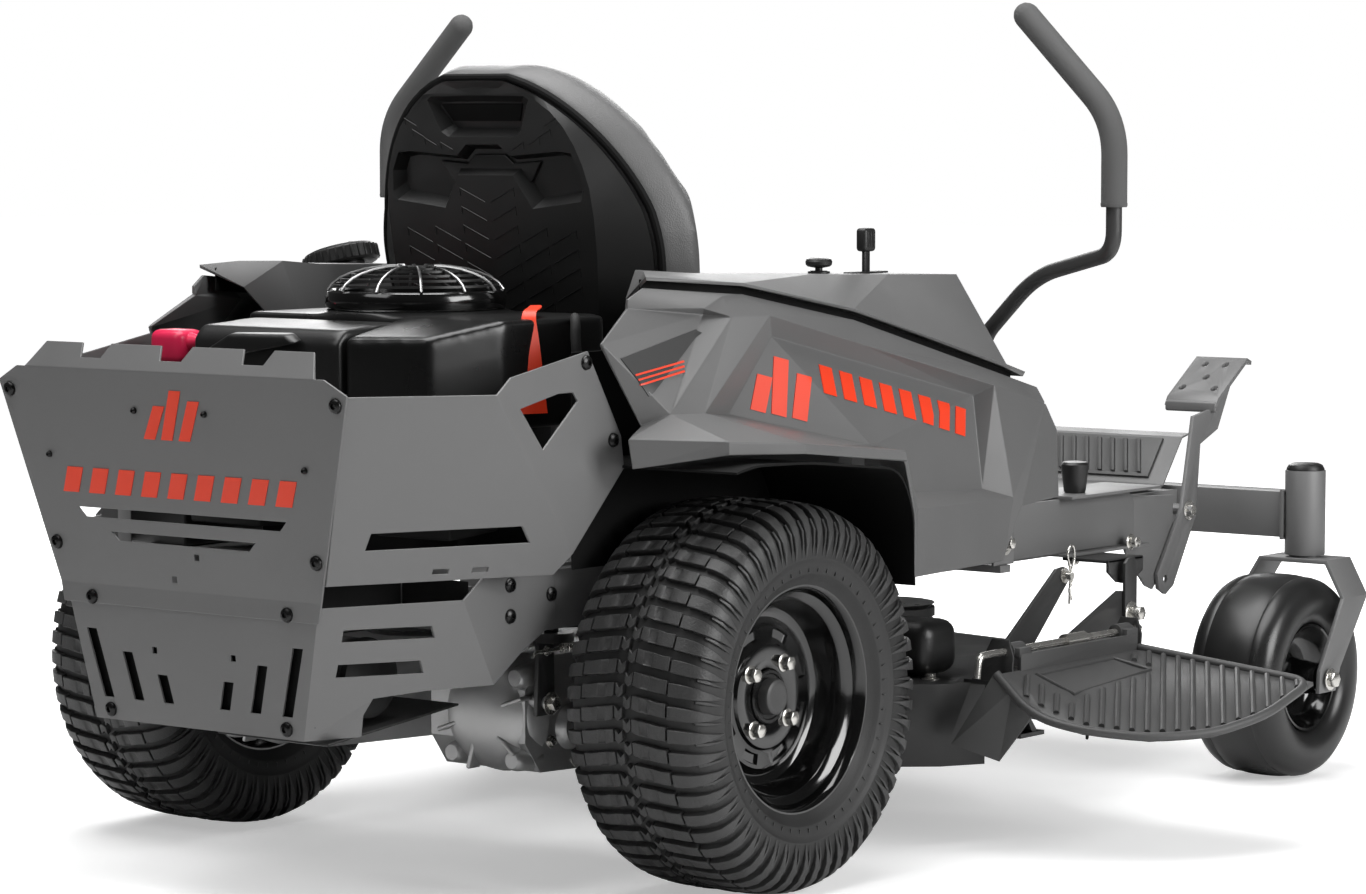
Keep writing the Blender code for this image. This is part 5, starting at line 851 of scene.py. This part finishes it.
# Soft forms: engine covers and seat cushions
def voxelled(node, name, size):
    """An even fine mesh round a CAD node's shape"""
    carrier = placed(name, mesh_of(moved(copied(node), CENTRING), name))
    voxels = carrier.modifiers.new("voxels", "REMESH")
    voxels.mode = "VOXEL"
    voxels.voxel_size = size
    graph = bpy.context.evaluated_depsgraph_get()
    meshed = bpy.data.meshes.new_from_object(carrier.evaluated_get(graph))
    carrier.modifiers.remove(voxels)
    carrier.data = meshed
    return carrier


def eased(carrier, passes):
    """The carrier's mesh with its corners rounded, at the design place"""
    shape = bmesh.new()
    shape.from_mesh(carrier.data)
    bpy.data.objects.remove(carrier)
    for _ in range(passes):
        bmesh.ops.smooth_vert(shape, verts=shape.verts, factor=0.5, use_axis_x=True, use_axis_y=True, use_axis_z=True)
    return moved(shape, -CENTRING)


PAD_VOXEL, PAD_PRESSURE, PAD_FRAMES, PAD_PASSES, PAD_FILL = 0.006, 6.0, 20, 14, 0.7
COVER_VOXEL, COVER_PASSES = 0.004, 12
ALL_SMOOTH = 180.0


def pad(node, name, cap, wide):
    """A cushion blown up from its CAD pad by no more than cap, eased, and brought back to its width"""
    carrier = voxelled(node, name, PAD_VOXEL)
    meshed = carrier.data
    before = [vert.co.copy() for vert in meshed.vertices]
    cloth = carrier.modifiers.new("cloth", "CLOTH")
    cloth.settings.use_pressure = True
    cloth.settings.uniform_pressure_force = PAD_PRESSURE
    cloth.settings.effector_weights.gravity = 0.0
    scene = bpy.context.scene
    for step in range(1, PAD_FRAMES + 1):
        scene.frame_set(step)
    graph = bpy.context.evaluated_depsgraph_get()
    swollen = bpy.data.meshes.new_from_object(carrier.evaluated_get(graph))
    carrier.modifiers.clear()
    for vert, start in zip(swollen.vertices, before):
        move = vert.co - start
        if move.length > cap:
            vert.co = start + move.normalized() * cap
        vert.co.y = max(vert.co.y, start.y - 0.001)
    carrier.data = swollen
    scene.frame_set(1)
    shape = eased(carrier, PAD_PASSES)
    bmesh.ops.scale(shape, verts=shape.verts, vec=(wide, 1, 1))
    made = done(shape, name, "seat", VINYL, (node,), ALL_SMOOTH)
    surfaces[name] = surface(made.data)


for node, look in (("engine_shroud", SHROUD), ("air_cleaner_cover", COVER)):
    done(eased(voxelled(node, node + "_carrier", COVER_VOXEL), COVER_PASSES), node + "_form", "chassis", look, (node,),
         ALL_SMOOTH)
pad("seat_back_pad", "seat_back_cushion", 0.009, 1.045)
pad("seat_base_pad", "seat_base_cushion", 0.005, 1.01)

# Lines of the seat back: v runs from its low end to its top
FORWARD = Vector((0, 0.407, 0.069)).normalized()


def mirrored(spots):
    """The same spots on the other side, last to first"""
    return [Vector((-spot.x, spot.y, spot.z)) for spot in reversed(spots)]


def back_half(v):
    """Half the width of the back there"""
    if v < 0.39:
        return 0.264 - 0.3 * (0.39 - v) ** 2
    return 0.264 * math.sqrt(1 - ((v - 0.39) / 0.63) ** 1.7)


def bowed(v):
    """A point on the middle line of the back, which bends rearward at the top"""
    return Vector((0, 0.133 - 0.069 * v, 0.655 + 0.407 * v)) - FORWARD * 0.058 * max(0.0, 2 * v - 1) ** 1.2


steps = [k / 40 for k in range(41)]
base_side = [Vector((0.237 - 0.03 * abs(2 * v - 1) ** 5, 0.2585 + 0.326 * v, 0.66)) for v in steps]
done(pipe(base_side + mirrored(base_side), 0.004, 3, loop=True), "seat_piping", "seat", VINYL)
# A near-black tube along the groove between the back cushion and the shell: painted shade in the crease
groove = [bowed(0.955 * v) + Vector((back_half(v) * 0.905, 0, 0)) + FORWARD * 0.001 for v in steps]
done(pipe(groove + mirrored(groove), 0.0058, 3), "seat_groove_shade", "seat", SHADE_BLACK)
threads = []
for k in range(-13, 14):
    for v in (0.315, 0.405, 0.615, 0.705):
        ends = [touch("seat_back_cushion", bowed(v) + Vector((x, 0, 0)) + FORWARD * 0.3, -FORWARD)[0]
                for x in (k * 0.012 - 0.0035, k * 0.012 + 0.0035)]
        threads.append(pipe([end + FORWARD * 0.0008 for end in ends], 0.0009, 1))
    for y in (0.356, 0.383, 0.453, 0.481):
        ends = [touch("seat_base_cushion", (x, y, 1.0), DOWN)[0]
                for x in (k * 0.012 - 0.0035, k * 0.012 + 0.0035)]
        threads.append(pipe([end + Vector((0, 0, 0.0008)) for end in ends], 0.0009, 1))
done(threads, "seat_stitches", "seat", STITCH)

# Seat shell: pan with its hinge, and a dished back with a hand pocket
pan = copied("seat_shell")
bmesh.ops.bisect_plane(pan, geom=pan.verts[:] + pan.edges[:] + pan.faces[:], plane_co=(0, 0, 0.8), plane_no=UP,
                       clear_outer=True)
bmesh.ops.holes_fill(pan, edges=[edge for edge in pan.edges if edge.is_boundary])
done(softened(outward(pan), 0.003, 3, 30.0), "seat_pan_form", "seat", BLACK_PLASTIC, ("seat_shell",), 40.0)


def on_shell(x, z, lift):
    """A point on the leaning flat of the shell's back, or lift behind it"""
    return Vector((x, 0.074 - 0.159 * (z - 0.655) - lift, z))


def shell_ring(shape, spots):
    """A closed ring from its right half, listed from the low middle to the high middle"""
    row = [shape.verts.new(spot) for spot in spots + mirrored(spots[1:-1])]
    return [shape.edges.new(pair) for pair in zip(row, row[1:] + row[:1])]


def rim_line(back, inset):
    """The right half of a line that follows the back cushion's edge"""
    spots = [bowed(0.0)]
    for k in range(25):
        v = 1 - (1 - k / 24) ** 1.7
        spots.append(bowed(0.946 * v) + Vector((back_half(v) * 0.89 - inset, 0, 0)))
    return [spot - FORWARD * back for spot in spots + [bowed(0.949)]]


def both_sides(half):
    """A whole outline from its right half"""
    return half + [(-x, z) for x, z in reversed(half)]


def flat_ring(shape, outline, lifts):
    """A closed ring on the flat of the shell's back"""
    row = [shape.verts.new(on_shell(x, z, lift)) for (x, z), lift in zip(outline, lifts)]
    return [shape.edges.new(pair) for pair in zip(row, row[1:] + row[:1])]


back_line = [(0, 0.69), (0.166, 0.69), (0.173, 0.745), (0.178, 0.8), (0.179, 0.85), (0.176, 0.89), (0.168, 0.92),
             (0.157, 0.946), (0.142, 0.97), (0.123, 0.99), (0.1, 1.005), (0.072, 1.015), (0.038, 1.021), (0, 1.023)]
pocket = both_sides([(0.0, 0.957), (0.058, 0.957), (0.069, 0.964), (0.088, 1.006), (0.081, 1.011), (0.0005, 1.012)])
pocket_floor = both_sides([(0.0, 0.969), (0.054, 0.969), (0.061, 0.974), (0.075, 0.998), (0.069, 1.003),
                           (0.0005, 1.004)])
hollow = both_sides([(0.048, 0.906), (0.076, 0.862), (0.16, 0.872), (0.166, 0.884), (0.163, 0.912), (0.15, 0.936),
                     (0.128, 0.938), (0.046, 0.932), (0.028, 0.947)])
hollow_floor = both_sides([(0.054, 0.918), (0.083, 0.876), (0.15, 0.886), (0.156, 0.896), (0.154, 0.912),
                           (0.145, 0.93), (0.126, 0.933), (0.044, 0.927), (0.027, 0.941)])
POCKET_DEPTH = [-0.019, -0.019, -0.018, -0.011, -0.009, -0.009]
shell = bmesh.new()
loops = [shell_ring(shell, rim_line(0.001, 0.01)), shell_ring(shell, rim_line(0.008, 0.002)),
         shell_ring(shell, [on_shell(x, z, 0.0) for x, z in back_line]),
         flat_ring(shell, pocket, [0.0] * 12),
         flat_ring(shell, pocket_floor, POCKET_DEPTH + POCKET_DEPTH[::-1]),
         flat_ring(shell, hollow, [0.0] * 18), flat_ring(shell, hollow_floor, [-0.018] * 18)]
bmesh.ops.bridge_loops(shell, edges=loops[0] + loops[1])
bmesh.ops.bridge_loops(shell, edges=loops[1] + loops[2])
bmesh.ops.triangle_fill(shell, edges=loops[2] + loops[3] + loops[5], use_beauty=True, use_dissolve=False)
bmesh.ops.bridge_loops(shell, edges=loops[3] + loops[4])
bmesh.ops.bridge_loops(shell, edges=loops[5] + loops[6])
for loop in (loops[0], loops[4], loops[6]):
    bmesh.ops.contextual_create(shell, geom=loop)
done(softened(outward(shell), 0.004, 3, 18.0), "seat_shell_back", "seat", BLACK_PLASTIC)
chin_line = both_sides([(0.068, 0.897), (0.088, 0.9255), (0.04, 0.922), (0.026, 0.934)])
chin = slab([on_shell(x, z, -0.0185) for x, z in chin_line], (0, -0.005, 0), 0.002, 4)
done(chin, "seat_shell_chin", "seat", BLACK_PLASTIC)
# A near-black slab on the hand pocket's floor: painted shade in the recess
depths = {0.978: -0.016, 1.001: -0.009}
pocket_dark_outline = both_sides([(0.058, 0.978), (0.071, 1.001)])
pocket_dark_slab = slab([on_shell(x, z, depths[z]) for x, z in pocket_dark_outline], (0, -0.0012, 0), 0.0004, 1)
done(pocket_dark_slab, "seat_pocket_painted_shade", "seat", SHADE_BLACK)
marks = []
for sign in (1, -1):
    for k in range(8):
        low = 0.868 - k * 0.025
        for step in range(3):
            x0, x1 = 0.005 + 0.05 * step, 0.047 + 0.05 * step
            z0, z1 = low + 0.45 * x0, low + 0.45 * x1
            if z1 < (0.892 if x1 < 0.05 else 0.852) and z0 > 0.705:
                marks.append(pipe([on_shell(sign * x0, z0, 0.0003), on_shell(sign * x1, z1, 0.0003),
                                   on_shell(sign * x1, z1 - 0.011, 0.0003)], 0.0007, 1))
    for x0, z0 in ((0.08, 0.946), (0.1, 0.957), (0.112, 0.972), (0.052, 0.94)):
        marks.append(pipe([on_shell(sign * x0, z0, 0.0003), on_shell(sign * (x0 + 0.02), z0 + 0.01, 0.0003),
                           on_shell(sign * (x0 + 0.02), z0 + 0.001, 0.0003)], 0.0007, 1))
done(marks, "seat_shell_marks", "seat", BLACK_PLASTIC)

# The deck belt, with its long runs cut finer, left on no body
belt = copied("deck_belt")
bmesh.ops.subdivide_edges(belt, edges=[edge for edge in belt.edges if edge.calc_length() > 0.3], cuts=24)
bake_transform(done(belt, "deck_belt_form", None, BELT, ("deck_belt",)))

# CAD nodes that stay in view
plain = {"fuel_tank": BLACK_PLASTIC, "engine_rotor": CASTING, "drive_belt": BELT}
for side, _ in SIDES:
    plain["input_pulley_" + side] = DARK_POWDER
    plain["spindle_" + side] = STEEL
    plain["blade_" + side] = DARK_POWDER
for node, look in plain.items():
    nodes[node].data.materials.clear()
    nodes[node].data.materials.append(look)

# Camera at the place found from the picture
CAMERA_AT, CAMERA_AIM = Vector((3.68151, -4.29623, 0.97037)), Vector((0.1495, 0.2718, 0.5355))
LENS_MM, SENSOR_MM = 112.04, 36.0
scene = bpy.context.scene
lens = bpy.data.cameras.new("camera")
lens.lens = LENS_MM
lens.sensor_width = SENSOR_MM
lens.clip_end = 100.0
camera = placed("camera", lens)
camera.location = CAMERA_AT + CENTRING
camera.rotation_euler = (CAMERA_AIM + CENTRING - camera.location).to_track_quat("-Z", "Y").to_euler()
scene.camera = camera

# Light and floor: the floor fades to white away from the mower, for the camera alone
WHITE = (1.0, 1.0, 1.0, 1.0)
WORLD_FILL = 0.05


def softbox(name, place, aim, size, power):
    lamp = bpy.data.lights.new(name, "AREA")
    lamp.shape = "RECTANGLE"
    lamp.size, lamp.size_y = size
    lamp.energy = power
    holder = placed(name, lamp)
    holder.location = place
    holder.rotation_euler = (Vector(aim) - Vector(place)).to_track_quat("-Z", "Y").to_euler()


softbox("top_box", (-0.2, -0.5, 3.4), (0, -0.1, 0.4), (3.0, 3.0), 150.0)
softbox("right_box", (4.2, 0.3, 1.8), (0.2, 0.1, 0.5), (2.4, 2.0), 135.0)
softbox("rear_box", (-0.8, -3.4, 3.0), (0, -0.3, 0.5), (2.0, 1.6), 26.0)
softbox("back_box", (-3.2, 4.0, 2.6), (0, 0, 0.6), (3.0, 2.4), 110.0)

world = bpy.data.worlds.new("studio")
scene.world = world
world.use_nodes = True
tree = world.node_tree
rays = tree.nodes.new("ShaderNodeLightPath").outputs
share = tree.nodes.new("ShaderNodeMix")
share.data_type = "RGBA"
feed(share, {"A": (*[WORLD_FILL] * 3, 1.0), "B": WHITE})
tree.links.new(calc(tree, "MAXIMUM", rays["Is Camera Ray"], rays["Is Transmission Ray"]), share.inputs["Factor"])
tree.links.new(share.outputs["Result"], tree.nodes["Background"].inputs["Color"])
feed(tree.nodes["Background"], {"Strength": 1.0})

ground = bmesh.new()
bmesh.ops.create_grid(ground, x_segments=1, y_segments=1, size=30.0)
floor = placed("floor", mesh_of(ground, "floor"))
paper = bpy.data.materials.new("floor_paper")
paper.use_nodes = True
tree = paper.node_tree
shader = tree.nodes["Principled BSDF"]
feed(shader, {"Base Color": (0.86, 0.86, 0.86, 1.0), "Roughness": 0.9, "Specular IOR Level": 0.1,
              "Emission Color": WHITE})
reach = tree.nodes.new("ShaderNodeVectorMath")
reach.operation = "LENGTH"
tree.links.new(tree.nodes.new("ShaderNodeTexCoord").outputs["Object"], reach.inputs[0])
fade = tree.nodes.new("ShaderNodeMapRange")
fade.interpolation_type = "SMOOTHSTEP"
feed(fade, {"From Min": 0.9, "From Max": 2.2, "To Min": 0.42, "To Max": 1.0})
tree.links.new(reach.outputs["Value"], fade.inputs["Value"])
rays = tree.nodes.new("ShaderNodeLightPath").outputs
glow = calc(tree, "MULTIPLY", rays["Is Camera Ray"], fade.outputs["Result"])
tree.links.new(glow, shader.inputs["Emission Strength"])
floor.data.materials.append(paper)

scene.view_settings.view_transform = "Standard"
